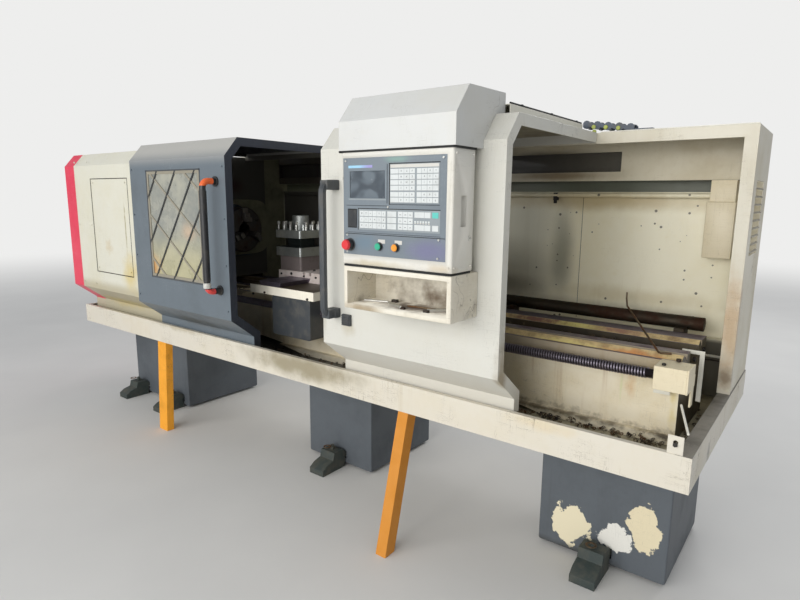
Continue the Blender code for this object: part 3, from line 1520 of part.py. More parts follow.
def back_wall():
    """Fold the back wall, with its ledge, stiffening ribs and hanging rail."""
    low, high = COVER_X[1] + GAP, GUARD_OUTER_X - GUARD_FLANGE - GAP
    line = [
        (WALL_Y, WALL_TOP_Z),
        (WALL_Y, LEDGE_Z),
        (WALL_Y - LEDGE_RUN, LEDGE_Z),
        (WALL_Y - LEDGE_RUN, SEAT_Z),
    ]
    sheet = prism("back_wall_sheet", band(line, SHEET), low, high, "yz")
    ribs = blocks(
        "back_wall_ribs",
        [
            (
                (x - WALL_RIB_WIDTH / 2, WALL_Y + SHEET / 2, LEDGE_Z + WALL_RIB_WIDTH),
                (x + WALL_RIB_WIDTH / 2, WALL_Y + WALL_RIB_DEPTH, WALL_TOP_Z - WALL_RIB_WIDTH),
            )
            for x in spread(WALL_RIB_COUNT, low + WALL_RIB_WIDTH, high - WALL_RIB_WIDTH)
        ],
    )
    rail_y = WALL_Y - RAIL_STAND
    rail = rods(
        "back_wall_rail",
        [(0, rail_y, RAIL_Z)],
        RAIL_RADIUS,
        low + WALL_RIB_WIDTH,
        high - OVERRUN,
        "x",
        SLIM_STEPS,
    )
    lugs = blocks(
        "back_wall_lugs",
        [
            ((x - RAIL_RADIUS, rail_y, RAIL_Z - SHEET), (x + RAIL_RADIUS, WALL_Y + SHEET / 2, RAIL_Z + SHEET))
            for x in spread(WALL_RIB_COUNT, low + 2 * WALL_RIB_WIDTH, high - 2 * WALL_RIB_WIDTH)
        ],
    )
    keep("back_wall", united(sheet, ribs, rail, lugs), CREAM_PAINT)


def back_beam():
    """Make the beam under the roof's back edge, with its cable recess and back plate."""
    low, high = COVER_X[1] + GAP, GUARD_OUTER_X - GUARD_FLANGE - GAP
    near, far = BEAM_Y
    top = ROOF_Z - SHEET - GAP
    back = far + BEAM_BACK_THICKNESS
    section = [
        (near, top),
        (near, BEAM_BOTTOM_Z),
        (far, BEAM_BOTTOM_Z),
        (far, BEAM_BOTTOM_Z - BEAM_BACK_DROP),
        (back, BEAM_BOTTOM_Z - BEAM_BACK_DROP),
        (back, top),
    ]
    beam = prism("back_beam_form", section, low, high, "yz")
    recess = block(
        "back_beam_recess",
        (low + SHEET, near - OVERRUN, DUCT_Z[0]),
        (DUCT_END_X, near + DUCT_DEPTH, DUCT_Z[1]),
    )
    keep("back_beam", cut(beam, recess), CREAM_PAINT)


def corner_box():
    """Make the junction box on the back wall's right end."""
    far = WALL_Y - GAP
    box = block(
        "corner_box_form",
        (CORNER_BOX_X[0], far - CORNER_BOX_DEPTH, CORNER_BOX_Z[0]),
        (CORNER_BOX_X[1], far, CORNER_BOX_Z[1]),
    )
    keep("corner_box", rounded(box, SHEET), CREAM_PAINT)


def rear_tube():
    """Make the tube behind the bed, on its saddles."""
    low, high = REAR_TUBE_X
    place = (0, REAR_TUBE_Y, REAR_TUBE_Z)
    tube = rods("rear_tube_bar", [place], REAR_TUBE_RADIUS, low, high, "x", SLIM_STEPS)
    half = TUBE_SADDLE_HEIGHT / 2
    middle = (WAY_BASE_Z + FLAT_Z) / 2
    saddles = blocks(
        "rear_tube_saddles",
        [
            (
                (x - TUBE_SADDLE_WIDTH / 2, REAR_WAY_Y + GAP, middle - half),
                (x + TUBE_SADDLE_WIDTH / 2, REAR_TUBE_Y, REAR_TUBE_Z - REAR_TUBE_RADIUS / 2),
            )
            for x in spread(TUBE_SADDLE_COUNT, low + TUBE_SADDLE_WIDTH, high - 2 * TUBE_SADDLE_WIDTH)
        ],
    )
    keep("rear_tube", united(tube, saddles), DARK_METAL)


def drag_chain():
    """Make the chain links that come down from the door's duct onto the fixed roof."""
    floor = ROOF_Z + GAP
    half = CHAIN_HEIGHT / 2
    near, far = CHAIN_Y
    outline_top, outline_low, bar_corners = [], [], []
    for index, share in enumerate(CHAIN_RISE_SHARES):
        x = CHAIN_START_X + (index + 1 / 2) * CHAIN_PITCH
        middle = floor + half + share * CHAIN_RISE
        outline_top += arc((x, middle), half, pi - CHAIN_LEAN, CHAIN_LEAN, 4)
        outline_low += arc((x, middle), half, pi + CHAIN_LEAN, tau - CHAIN_LEAN, 4)
        for level in (middle - half + SHEET, middle + half - SHEET - CHAIN_SIDE):
            bar_corners.append(
                (
                    (x - CHAIN_BAR / 2, near + CHAIN_SIDE / 2, level),
                    (x + CHAIN_BAR / 2, far - CHAIN_SIDE / 2, level + CHAIN_SIDE),
                )
            )
    side = outline_top + list(reversed(outline_low))
    sides = [
        prism("chain_side_near", side, near, near + CHAIN_SIDE, "xz"),
        prism("chain_side_far", side, far - CHAIN_SIDE, far, "xz"),
    ]
    bars = blocks("chain_bars", bar_corners)
    last = CHAIN_START_X + (len(CHAIN_RISE_SHARES) - 1 / 2) * CHAIN_PITCH
    inset = CHAIN_SIDE / 2
    foot = block(
        "chain_foot",
        (last, near + inset, floor),
        (last + CHAIN_FOOT_LENGTH, far - inset, floor + CHAIN_FOOT_HEIGHT),
    )
    chain = combined(joined("chain_sides", sides), "UNION", [bars], "MANIFOLD")
    keep("drag_chain", combined(chain, "UNION", [foot], "MANIFOLD"), CHAIN_PLASTIC)


def electrical_cabinet():
    """Fold the cabinet behind the headstock and set its drives on the back plate."""
    low, high = CABINET_X
    rear = BACK_REACH_Y - CABINET_DOOR_THICKNESS - GAP
    floor = PAN_RIM_Z + GAP
    box = block("cabinet_form", (low, CABINET_FRONT_Y, floor), (high, rear, CABINET_TOP_Z))
    hollow = block(
        "cabinet_hollow",
        (low + SHEET, CABINET_FRONT_Y + SHEET, floor + SHEET),
        (high - SHEET, rear + OVERRUN, CABINET_TOP_Z - SHEET),
    )
    pitch = (high - low) / DRIVE_COUNT
    middle = (floor + CABINET_TOP_Z) / 2
    drives = blocks(
        "cabinet_drives",
        [
            (
                (x - DRIVE_WIDTH / 2, CABINET_FRONT_Y + SHEET / 2, middle - DRIVE_HEIGHT / 2),
                (x + DRIVE_WIDTH / 2, CABINET_FRONT_Y + DRIVE_DEPTH, middle + DRIVE_HEIGHT / 2),
            )
            for x in (low + (n + 1 / 2) * pitch for n in range(DRIVE_COUNT))
        ],
    )
    keep("electrical_cabinet", united(cut(box, hollow), drives), CREAM_PAINT)


def cabinet_hinge():
    """Give the line of the cabinet door's hinge as its X and Y."""
    return CABINET_X[0] + CABINET_HINGE_RADIUS, BACK_REACH_Y - CABINET_HINGE_RADIUS


def cabinet_door():
    """Fold the cabinet's door with its hinge barrel and recessed latch."""
    low, high = CABINET_X
    near = BACK_REACH_Y - CABINET_DOOR_THICKNESS
    floor = PAN_RIM_Z + CABINET_LIFT
    hinge_x, hinge_y = cabinet_hinge()
    door = block("cabinet_door_form", (hinge_x, near, floor), (high, BACK_REACH_Y, CABINET_TOP_Z))
    hollow = block(
        "cabinet_door_hollow",
        (hinge_x + CABINET_LIFT, near - OVERRUN, floor + SHEET),
        (high - SHEET, BACK_REACH_Y - SHEET, CABINET_TOP_Z - SHEET),
    )
    barrel = rods(
        "cabinet_barrel", [(hinge_x, hinge_y, 0)], CABINET_HINGE_RADIUS, floor, CABINET_TOP_Z, "z", SLIM_STEPS
    )
    keep("cabinet_door", united(cut(door, hollow), barrel), CREAM_PAINT, (hinge_x, hinge_y, floor))


def console_box():
    """Make the console's housing with its panel recess, finger pull and stand-off posts."""
    back = CONSOLE_FRONT_Y + CONSOLE_DEPTH
    low, high = CONSOLE_X
    box = block(
        "console_form", (low, CONSOLE_FRONT_Y, CONSOLE_Z[0]), (high, back, CONSOLE_Z[1])
    )
    rounded(box, CONSOLE_EDGE)
    recess = block(
        "console_recess",
        (PANEL_X[0] - GAP, CONSOLE_FRONT_Y - OVERRUN, PANEL_Z[0] - GAP),
        (PANEL_X[1] + GAP, CONSOLE_FRONT_Y + PANEL_THICKNESS + GAP, PANEL_Z[1] + GAP),
    )
    pull = block(
        "console_pull",
        (high - PULL_DEPTH, PULL_Y[0], PULL_Z[0]),
        (high + OVERRUN, PULL_Y[1], PULL_Z[1]),
    )
    wells = rods(
        "console_wells",
        [(x, 0, BUTTON_Z) for x in BUTTON_X],
        BUTTON_STEM_RADIUS + RUNNING_GAP,
        CONSOLE_FRONT_Y,
        CONSOLE_FRONT_Y + PANEL_THICKNESS + OVERRUN,
        "y",
        SLIM_STEPS,
    )
    margin = CONSOLE_POST_MARGIN
    posts = blocks(
        "console_posts",
        [
            (
                (x, back - SHEET, CONSOLE_Z[0] + margin),
                (x + CONSOLE_POST_WIDTH, DOOR_FACE_Y - GAP, CONSOLE_Z[1] - margin),
            )
            for x in (low + margin, high - margin - CONSOLE_POST_WIDTH)
        ],
    )
    keep("console_box", cut(united(box, posts), recess, pull, wells), CREAM_PAINT)


def control_panel():
    """Make the control panel with its screen recess, key field and button holes."""
    far = CONSOLE_FRONT_Y + PANEL_THICKNESS
    panel = block("panel_form", (PANEL_X[0], CONSOLE_FRONT_Y, PANEL_Z[0]), (PANEL_X[1], far, PANEL_Z[1]))
    screen = block(
        "panel_screen",
        (SCREEN_X[0], CONSOLE_FRONT_Y - OVERRUN, SCREEN_Z[0]),
        (SCREEN_X[1], CONSOLE_FRONT_Y + SCREEN_RECESS, SCREEN_Z[1]),
    )
    keys = block(
        "panel_keys",
        (KEYBOARD_X[0], CONSOLE_FRONT_Y - KEYBOARD_RISE, KEYBOARD_Z[0]),
        (KEYBOARD_X[1], CONSOLE_FRONT_Y + KEYBOARD_RISE, KEYBOARD_Z[1]),
    )
    holes = rods(
        "panel_holes",
        [(x, 0, BUTTON_Z) for x in BUTTON_X],
        BUTTON_STEM_RADIUS + BEARING_GAP,
        CONSOLE_FRONT_Y - OVERRUN,
        far + OVERRUN,
        "y",
        SLIM_STEPS,
    )
    keep("control_panel", cut(united(panel, keys), screen, holes), PANEL_PAINT)


def push_button(name, x, cap_radius, cap_length, material):
    """Turn a push button: its cap stands off the panel and its stem runs in the panel's hole."""
    face = CONSOLE_FRONT_Y - BUTTON_STAND
    profile = [
        (0, CONSOLE_FRONT_Y + PANEL_THICKNESS),
        (BUTTON_STEM_RADIUS, CONSOLE_FRONT_Y + PANEL_THICKNESS),
        (BUTTON_STEM_RADIUS, face),
        (cap_radius, face),
        (cap_radius, face - cap_length * BUTTON_EDGE_SHARE),
        (cap_radius * BUTTON_CROWN_SHARE, face - cap_length),
        (0, face - cap_length),
    ]
    item = turned(name + "_form", profile, "y", (x, 0, BUTTON_Z), steps=SLIM_STEPS)
    keep(name, item, material, (x, CONSOLE_FRONT_Y, BUTTON_Z))


def push_buttons():
    """Make the red stop button and the two round ones beside it."""
    push_button("stop_button", BUTTON_X[0], STOP_CAP_RADIUS, STOP_CAP_LENGTH, RED_PAINT)
    push_button("start_button", BUTTON_X[1], BUTTON_CAP_RADIUS, BUTTON_CAP_LENGTH, GREEN_PLASTIC)
    push_button("hold_button", BUTTON_X[2], BUTTON_CAP_RADIUS, BUTTON_CAP_LENGTH, ORANGE_PLASTIC)


def hood():
    """Fold the hood over the console, open towards the door it is bolted to."""
    low_z = CONSOLE_Z[1] + HOOD_SEAM
    shoulder = low_z + HOOD_FACE
    ridge = shoulder + HOOD_SLOPE_RISE
    face = DOOR_FACE_Y - GAP
    line = [
        (HOOD_BACK_Y, ROOF_Z + GAP),
        (HOOD_BACK_Y, ridge + HOOD_TOP_RISE),
        (HOOD_FRONT_Y + HOOD_SLOPE_RUN, ridge),
        (HOOD_FRONT_Y, shoulder),
        (HOOD_FRONT_Y, low_z),
        (face, low_z),
    ]
    door_side = shifted(guard_line(), -GAP)
    outline = line + [door_side[2], door_side[1]]
    shell = prism("hood_form", outline, *HOOD_X, "yz")
    inner = lengthened(shifted(line, SHEET), OVERRUN, OVERRUN)
    core = [*inner, (inner[-1].x, inner[0].y - OVERRUN), (inner[0].x, inner[0].y - OVERRUN)]
    hollow = prism("hood_hollow", core, HOOD_X[0] + SHEET, HOOD_X[1] - SHEET, "yz")
    keep("hood", cut(shell, hollow), CREAM_PAINT)


def tool_tray():
    """Make the open-fronted tool box below the console."""
    far = DOOR_FACE_Y - GAP
    box = block("tray_form", (TRAY_X[0], CONSOLE_FRONT_Y, TRAY_Z[0]), (TRAY_X[1], far, TRAY_Z[1]))
    rounded(box, SHEET)
    hollow = block(
        "tray_hollow",
        (TRAY_X[0] + TRAY_FRAME, CONSOLE_FRONT_Y - OVERRUN, TRAY_Z[0] + TRAY_FRAME),
        (TRAY_X[1] - TRAY_FRAME, far - TRAY_BACK, TRAY_Z[1] - TRAY_FRAME),
    )
    keep("tool_tray", cut(box, hollow), CREAM_PAINT)


def corner_bracket():
    """Give the small folded bracket welded to the pan's front lip, with its hole."""
    floor = PAN_RIM_Z - SHEET / 2
    near = PAN_FRONT_Y + SHEET
    low = HALF_LENGTH - BRACKET_INSET
    profile = [
        (near, floor),
        (near + BRACKET_FOOT / 2, floor),
        (near + BRACKET_FOOT / 2, floor + SHEET),
        (near + SHEET, floor + SHEET),
        (near + SHEET, floor + BRACKET_HEIGHT),
        (near, floor + BRACKET_HEIGHT),
    ]
    bracket = prism("bracket_form", profile, low, low + BRACKET_WIDTH, "yz")
    hole = rods(
        "bracket_hole",
        [(low + BRACKET_WIDTH / 2, 0, floor + BRACKET_HEIGHT * BRACKET_HOLE_SHARE)],
        BRACKET_HOLE,
        near - OVERRUN,
        near + OVERRUN,
        "y",
        SLIM_STEPS,
    )
    return cut(bracket, hole)


def chip_hook():
    """Bend the chip hook that leans on the bed's front way and the tube behind the bed."""
    rest = HOOK_RADIUS + 2 * GAP
    vee = Vector((HOOK_VEE_X, FRONT_VEE_Y, BED_TOP_Z + rest))
    tube = Vector((HOOK_TUBE_X, REAR_TUBE_Y, REAR_TUBE_Z + REAR_TUBE_RADIUS + rest))
    run = (tube - vee).normalized()
    side = Vector((-run.y, run.x, 0)).normalized()
    low = vee - run * HOOK_TAIL
    high = tube + run * HOOK_TAIL
    up = Vector((0, 0, HOOK_TIP_RISE / 2))
    line = [
        low - side * HOOK_TOE,
        low - side * HOOK_RADIUS * 2,
        low + run * HOOK_RADIUS * 2,
        high,
        high + run * HOOK_TIP_RISE / 2 + up,
        high + run * HOOK_TIP_RISE / 2 + 2 * up,
    ]
    keep("chip_hook", wire("chip_hook_bar", line, HOOK_RADIUS, 2), STEEL)


def right_prop():
    """Make the slanted yellow prop under the pan's front, right of the middle."""
    top = PAN_UNDERSIDE_Z - GAP
    half = PROP_SECTION_Y / 2
    outline = [
        (RIGHT_PROP_FOOT_Y - half, 0),
        (RIGHT_PROP_FOOT_Y + half, 0),
        (RIGHT_PROP_TOP_Y + half, top),
        (RIGHT_PROP_TOP_Y - half, top),
    ]
    low = RIGHT_PROP_X - PROP_SECTION_X / 2
    keep("pan_prop_right", prism("right_prop_form", outline, low, low + PROP_SECTION_X, "yz"), YELLOW_PAINT)


def left_prop():
    """Make the slanted yellow prop under the pan's front, left of the middle."""
    top = PAN_UNDERSIDE_Z - GAP
    half = LEFT_PROP_WIDTH / 2
    outline = [
        (LEFT_PROP_FOOT_X - half, 0),
        (LEFT_PROP_FOOT_X + half, 0),
        (LEFT_PROP_TOP_X + half, top),
        (LEFT_PROP_TOP_X - half, top),
    ]
    low = LEFT_PROP_Y - LEFT_PROP_THICKNESS / 2
    prop = prism("left_prop_form", outline, low, low + LEFT_PROP_THICKNESS, "xz")
    keep("pan_prop_left", prop, YELLOW_PAINT)


def pedestals():
    """Place the three pedestals and a levelling mount at each foot pocket."""
    places = (
        ("left", LEFT_PEDESTAL_X, LEFT_PEDESTAL_FRONT_Y),
        ("middle", MIDDLE_PEDESTAL_X, PEDESTAL_FRONT_Y),
        ("right", RIGHT_PEDESTAL_X, PEDESTAL_FRONT_Y),
    )
    for side, span, front in places:
        pedestal("pedestal_" + side, span, front)
        for number, x in enumerate(pocket_places(span)):
            levelling_mount(f"mount_{side}_front_{number + 1}", x, front, -1)
        rear_x = sum(span) / 2
        if side == "left":
            rear_x = pocket_places(span)[0]
        levelling_mount(f"mount_{side}_rear", rear_x, PEDESTAL_REAR_Y, 1)


clear_scene()
MACHINE = new_collection("cnc_turning_lathe")
CUTTERS = new_collection("cutters")

CREAM_PAINT = paint("cream_paint", (0.78, 0.75, 0.66), 0.42)
BLUE_PAINT = paint("blue_grey_paint", (0.17, 0.21, 0.25), 0.38)
PEDESTAL_PAINT = paint("pedestal_paint", (0.15, 0.18, 0.21), 0.55)
MOUNT_PAINT = paint("mount_paint", (0.035, 0.055, 0.05), 0.7)
CASTING_PAINT = paint("casting_paint", (0.62, 0.58, 0.44), 0.5)
HEADSTOCK_PAINT = paint("headstock_paint", (0.2, 0.21, 0.21), 0.55)
APRON_PAINT = paint("apron_paint", (0.09, 0.09, 0.1), 0.6)
PANEL_PAINT = paint("panel_paint", (0.12, 0.16, 0.2), 0.45)
RED_PAINT = paint("red_paint", (0.75, 0.03, 0.09), 0.35)
YELLOW_PAINT = paint("yellow_paint", (0.85, 0.4, 0.04), 0.5)
MOTOR_PAINT = paint("motor_paint", (0.08, 0.1, 0.12), 0.5)
STEEL = paint("machined_steel", (0.42, 0.4, 0.39), 0.35, 1.0)
DARK_METAL = paint("dark_metal", (0.06, 0.06, 0.065), 0.5, 0.6)
RUBBER = paint("belt_rubber", (0.02, 0.02, 0.02), 0.8)
PANE_PLASTIC = paint("pane_plastic", (0.6, 0.6, 0.48), 0.2)
HANDLE_PLASTIC = paint("handle_plastic", (0.02, 0.02, 0.022), 0.45)
CHAIN_PLASTIC = paint("chain_plastic", (0.07, 0.08, 0.11), 0.5)
GREEN_PLASTIC = paint("green_plastic", (0.02, 0.4, 0.22), 0.35)
ORANGE_PLASTIC = paint("orange_plastic", (0.85, 0.32, 0.06), 0.35)

pedestals()
chip_pan()
bed()
headstock()
spindle()
chuck()
chuck_jaws()
main_motor()
motor_pulley()
drive_belt()
ball_screw()
feed_drive()
screw_bearing()
saddle()
apron()
cross_slide()
tool_post_base()
tool_turret()
tailstock()
quill()
tailstock_wheel()
left_door()
window_grille()
window_pane()
door_handle("left_handle", LEFT_HANDLE_X, LEFT_HANDLE_Z)
right_door()
door_handle("right_handle", RIGHT_HANDLE_X, RIGHT_HANDLE_Z)
cable_duct()
headstock_cover()
access_panel()
end_cover()
fixed_guard()
back_wall()
back_beam()
corner_box()
rear_tube()
drag_chain()
electrical_cabinet()
cabinet_door()
console_box()
control_panel()
push_buttons()
hood()
tool_tray()
chip_hook()
right_prop()
left_prop()
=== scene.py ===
# %% [markdown]
# # Dressing a CNC turning lathe
# The machine is a long flat-bed lathe. Three pedestals carry a chip pan, the pan carries the bed, and a sheet
# guard with two sliding doors stands round the working space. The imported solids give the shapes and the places.
# This lesson gives them paint, steel, oil, dust and the small parts that a solid model leaves to the eye.

# %% Load the frame
import json
from math import cos, radians, sin, tau

import bmesh
import bpy
from mathutils import Matrix, Vector

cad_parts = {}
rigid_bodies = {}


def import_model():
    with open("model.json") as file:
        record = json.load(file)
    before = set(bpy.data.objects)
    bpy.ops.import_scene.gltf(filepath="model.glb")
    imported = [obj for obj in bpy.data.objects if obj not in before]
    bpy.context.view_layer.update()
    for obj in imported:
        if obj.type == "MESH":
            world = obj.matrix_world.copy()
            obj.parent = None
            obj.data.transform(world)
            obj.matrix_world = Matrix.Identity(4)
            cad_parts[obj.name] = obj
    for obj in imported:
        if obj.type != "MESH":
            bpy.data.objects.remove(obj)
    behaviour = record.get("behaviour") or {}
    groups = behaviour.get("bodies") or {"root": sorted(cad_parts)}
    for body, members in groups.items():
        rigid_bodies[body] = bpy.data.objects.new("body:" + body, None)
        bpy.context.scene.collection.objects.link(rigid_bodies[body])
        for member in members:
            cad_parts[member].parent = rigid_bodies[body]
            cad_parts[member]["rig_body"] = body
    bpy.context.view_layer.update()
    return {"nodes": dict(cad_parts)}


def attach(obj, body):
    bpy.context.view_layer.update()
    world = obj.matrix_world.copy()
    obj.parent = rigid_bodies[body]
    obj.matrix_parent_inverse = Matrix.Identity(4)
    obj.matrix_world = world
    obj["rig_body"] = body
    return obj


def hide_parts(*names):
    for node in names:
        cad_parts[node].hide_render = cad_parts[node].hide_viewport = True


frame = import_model()
nodes = frame["nodes"]

# %% [markdown]
# ## The camera
# The photograph was taken from the machine's right front corner, at about eye height and with a short lens.
# Lines that run along, across and up the machine give three vanishing points, and those give the lens and the
# direction of view. The camera could also be placed by eye, but then no edge would fall on its own line.

# %% Place the camera
AZIMUTH, DOWN, ROLL = radians(37.4906), radians(10.2235), radians(0.4978)
forward = Vector((-sin(AZIMUTH) * cos(DOWN), cos(AZIMUTH) * cos(DOWN), -sin(DOWN)))
level = Vector((cos(AZIMUTH), sin(AZIMUTH), 0))
upward = level.cross(forward)
right = level * cos(ROLL) + upward * sin(ROLL)
top = upward * cos(ROLL) - level * sin(ROLL)
lens = bpy.data.cameras.new("photo_view")
SENSOR, FOCAL_PIXELS, PICTURE_WIDTH = 36, 573.08, 800
lens.sensor_width = SENSOR
lens.lens = SENSOR * FOCAL_PIXELS / PICTURE_WIDTH
lens.clip_start = 0.05
viewer = bpy.data.objects.new("photo_view", lens)
bpy.context.scene.collection.objects.link(viewer)
turn = Matrix((right, top, -forward)).transposed().to_4x4()
EYE = (2.144, -2.16, 1.41)
viewer.matrix_world = Matrix.Translation(EYE) @ turn
bpy.context.scene.camera = viewer
bpy.context.scene.view_settings.view_transform = "Standard"
print("lens", round(lens.lens, 2), "mm")

# %% [markdown]
# ## Small helpers for node trees
# Every paint below is a tree of shader nodes. A helper that makes a node, sets it and wires it in one call keeps
# such a tree readable. A value that is a socket becomes a link, and anything else becomes the socket's value.

# %% Node helpers
def rgb(red, green, blue):
    """Turn a colour read off a screen, 0 to 255, into the linear values that a shader takes."""
    parts = (red / 255, green / 255, blue / 255)
    linear = [p / 12.92 if p <= 0.04045 else ((p + 0.055) / 1.055) ** 2.4 for p in parts]
    return (*linear, 1.0)


def put(tree, kind, values=None, **settings):
    """Add a node, set it, and wire or fill its inputs."""
    made = tree.nodes.new("ShaderNode" + kind)
    for name, value in settings.items():
        setattr(made, name, value)
    for key, value in (values or {}).items():
        socket = made.inputs[key]
        if isinstance(value, bpy.types.NodeSocket):
            tree.links.new(value, socket)
        else:
            socket.default_value = value
    return made


def maths(tree, operation, first, second=0.0, clamp=False):
    """Add a Math node and give its result."""
    made = put(tree, "Math", {0: first, 1: second}, operation=operation, use_clamp=clamp)
    return made.outputs[0]


def times(tree, first, second):
    """Multiply two values."""
    return maths(tree, "MULTIPLY", first, second)


def vector_maths(tree, operation, first, second=None):
    """Add a Vector Math node and give its vector, or its value where the operation gives one."""
    values = {0: first} if second is None else {0: first, 1: second}
    outputs = put(tree, "VectorMath", values, operation=operation).outputs
    return outputs["Value" if operation in ("LENGTH", "DOT_PRODUCT") else "Vector"]


def noise(tree, place, scale, detail, **more):
    """Give a noise value at a place."""
    return put(tree, "TexNoise", {"Vector": place, "Scale": scale, "Detail": detail, **more}).outputs["Fac"]


def mixed(tree, share, under, over):
    """Lay one colour over another by a share. A colour is a socket, or three numbers read off a screen."""
    under, over = (rgb(*c) if isinstance(c, tuple) and len(c) == 3 else c for c in (under, over))
    return put(tree, "Mix", {0: share, 6: under, 7: over}, data_type="RGBA").outputs[2]


def ramped(tree, value, low, high, start=0.0, end=1.0):
    """Stretch a value from low..high to start..end, clamped, with soft ends."""
    values = {"Value": value, "From Min": low, "From Max": high, "To Min": start, "To Max": end}
    return put(tree, "MapRange", values, interpolation_type="SMOOTHSTEP").outputs["Result"]


def new_group(name, **values):
    """Start a shader group that takes a place and named values, and gives a mask."""
    tree = bpy.data.node_groups.new(name, "ShaderNodeTree")
    tree.interface.new_socket("Place", in_out="INPUT", socket_type="NodeSocketVector")
    for title, value in values.items():
        kind = "Float" if isinstance(value, float) else "Vector"
        made = tree.interface.new_socket(title, in_out="INPUT", socket_type="NodeSocket" + kind)
        if value is not None:
            made.default_value = value
    tree.interface.new_socket("Mask", in_out="OUTPUT", socket_type="NodeSocketFloat")
    return tree, tree.nodes.new("NodeGroupInput").outputs, tree.nodes.new("NodeGroupOutput").inputs["Mask"]


def mask(tree, group, place, **values):
    """Put one of the shader groups below in a tree and give its mask."""
    return put(tree, "Group", {"Place": place, **values}, node_tree=group).outputs["Mask"]


# %% [markdown]
# ## Shared effects
# A workshop machine ages in a few ways that come back on every panel. Blotches of oil mist and dust, runs that
# follow gravity, scratches from chips and hooks, bare edges, and spots where the paint was knocked off. Each one
# is a shader group, so it is built once and gets its own values in each paint.

# %% Blotches
group, given, out = new_group("Blotches", Scale=4.0, Low=0.45, High=0.7)
blotches = group
cloud = noise(group, given["Place"], given["Scale"], 7.0, Roughness=0.62)
group.links.new(ramped(group, cloud, given["Low"], given["High"]), out)

# %% Runs down a panel
group, given, out = new_group("Runs", Across=30.0, Down=1.6, Low=0.5, High=0.72)
drips = group
size = put(group, "CombineXYZ", {"X": given["Across"], "Y": given["Across"], "Z": given["Down"]}).outputs[0]
drawn = vector_maths(group, "MULTIPLY", given["Place"], size)
bent = noise(group, drawn, 1.0, 4.0, Roughness=0.6, Distortion=0.4)
wet = noise(group, given["Place"], 2.3, 2.0)
streak = ramped(group, bent, given["Low"], given["High"])
group.links.new(times(group, streak, ramped(group, wet, 0.46, 0.64)), out)

# %% Specks thrown by the chuck
group, given, out = new_group("Specks", Scale=36.0)
specked = group
cells = put(group, "TexVoronoi", {"Vector": given["Place"], "Scale": given["Scale"]}).outputs
pick = put(group, "SeparateColor", {0: cells["Color"]}).outputs
reach = times(group, ramped(group, pick[0], 0.7, 1.0), 0.24)
group.links.new(ramped(group, maths(group, "SUBTRACT", reach, cells["Distance"]), 0.0, 0.02), out)

# %% Scratches
group, given, out = new_group("Scratches", Fineness=60.0, Amount=0.5)
scratched = group
marks = []
for slope in ((1.0, 0.07, 0.05), (0.06, 0.09, 1.0)):
    drawn = vector_maths(group, "MULTIPLY", given["Place"], slope)
    hair = noise(group, drawn, given["Fineness"], 3.0, Roughness=0.7, Distortion=0.6)
    distance = maths(group, "ABSOLUTE", maths(group, "SUBTRACT", hair, 0.5))
    marks.append(ramped(group, distance, 0.0, 0.006, 1.0, 0.0))
patch = ramped(group, noise(group, given["Place"], 5.0, 3.0), 0.48, 0.62)
both = maths(group, "MAXIMUM", marks[0], marks[1])
group.links.new(times(group, times(group, both, patch), given["Amount"]), out)

# %% A ragged spot at a place
group, given, out = new_group("Spot", Centre=None, Reach=(0.1, 0.1, 0.1), Ragged=0.4, Fineness=18.0,
                              Softness=0.08)
spotted = group
away = vector_maths(group, "SUBTRACT", given["Place"], given["Centre"])
radius = vector_maths(group, "LENGTH", vector_maths(group, "DIVIDE", away, given["Reach"]))
torn = noise(group, given["Place"], given["Fineness"], 5.0, Roughness=0.6)
shift = times(group, maths(group, "SUBTRACT", torn, 0.5), times(group, given["Ragged"], 4.0))
edge = maths(group, "ADD", radius, shift)
inner = maths(group, "SUBTRACT", 1.0, given["Softness"])
group.links.new(ramped(group, edge, inner, 1.0, 1.0, 0.0), out)

# %% Bare edges
group, given, out = new_group("Worn edges", Amount=0.5)
worn = group
rim = put(group, "Attribute", attribute_name="edge").outputs["Fac"]
rub = noise(group, given["Place"], 14.0, 6.0, Roughness=0.7)
limit = maths(group, "SUBTRACT", 0.72, times(group, given["Amount"], 0.35))
knocked = ramped(group, rub, limit, maths(group, "ADD", limit, 0.05))
group.links.new(times(group, rim, knocked), out)
print("shader groups:", [group.name for group in bpy.data.node_groups])

# %% [markdown]
# ## Paint
# Sheet metal is sprayed, so its coat has a fine orange peel and a soft gloss. One function lays the coats in the
# order in which they came: colour, oil mist, runs, fades and spots at known places, scratches and bare edges. Some
# fades and spots are stains, and many are painted shade, painted light or painted reflections, as each paint tells.
# A picture of a painted panel could be wrapped on instead, but it would stretch and could not follow each panel's
# own wear.

# %% Build a paint
SOOT = (72, 68, 60)
finishes = {}


def start_material(name, metallic=0.0, coat=0.0):
    """Start a Principled material, note it, and give its tree, its shader's inputs and object coordinates."""
    material = finishes[name] = bpy.data.materials.new(name)
    material.use_nodes = True
    tree = material.node_tree
    inputs = tree.nodes["Principled BSDF"].inputs
    inputs["Metallic"].default_value = metallic
    inputs["Coat Weight"].default_value = coat
    return tree, inputs, put(tree, "TexCoord").outputs["Object"]


def bumped(tree, inputs, height, strength, distance):
    """Let a height bend the light."""
    made = put(tree, "Bump", {"Height": height, "Strength": strength, "Distance": distance})
    tree.links.new(made.outputs[0], inputs["Normal"])


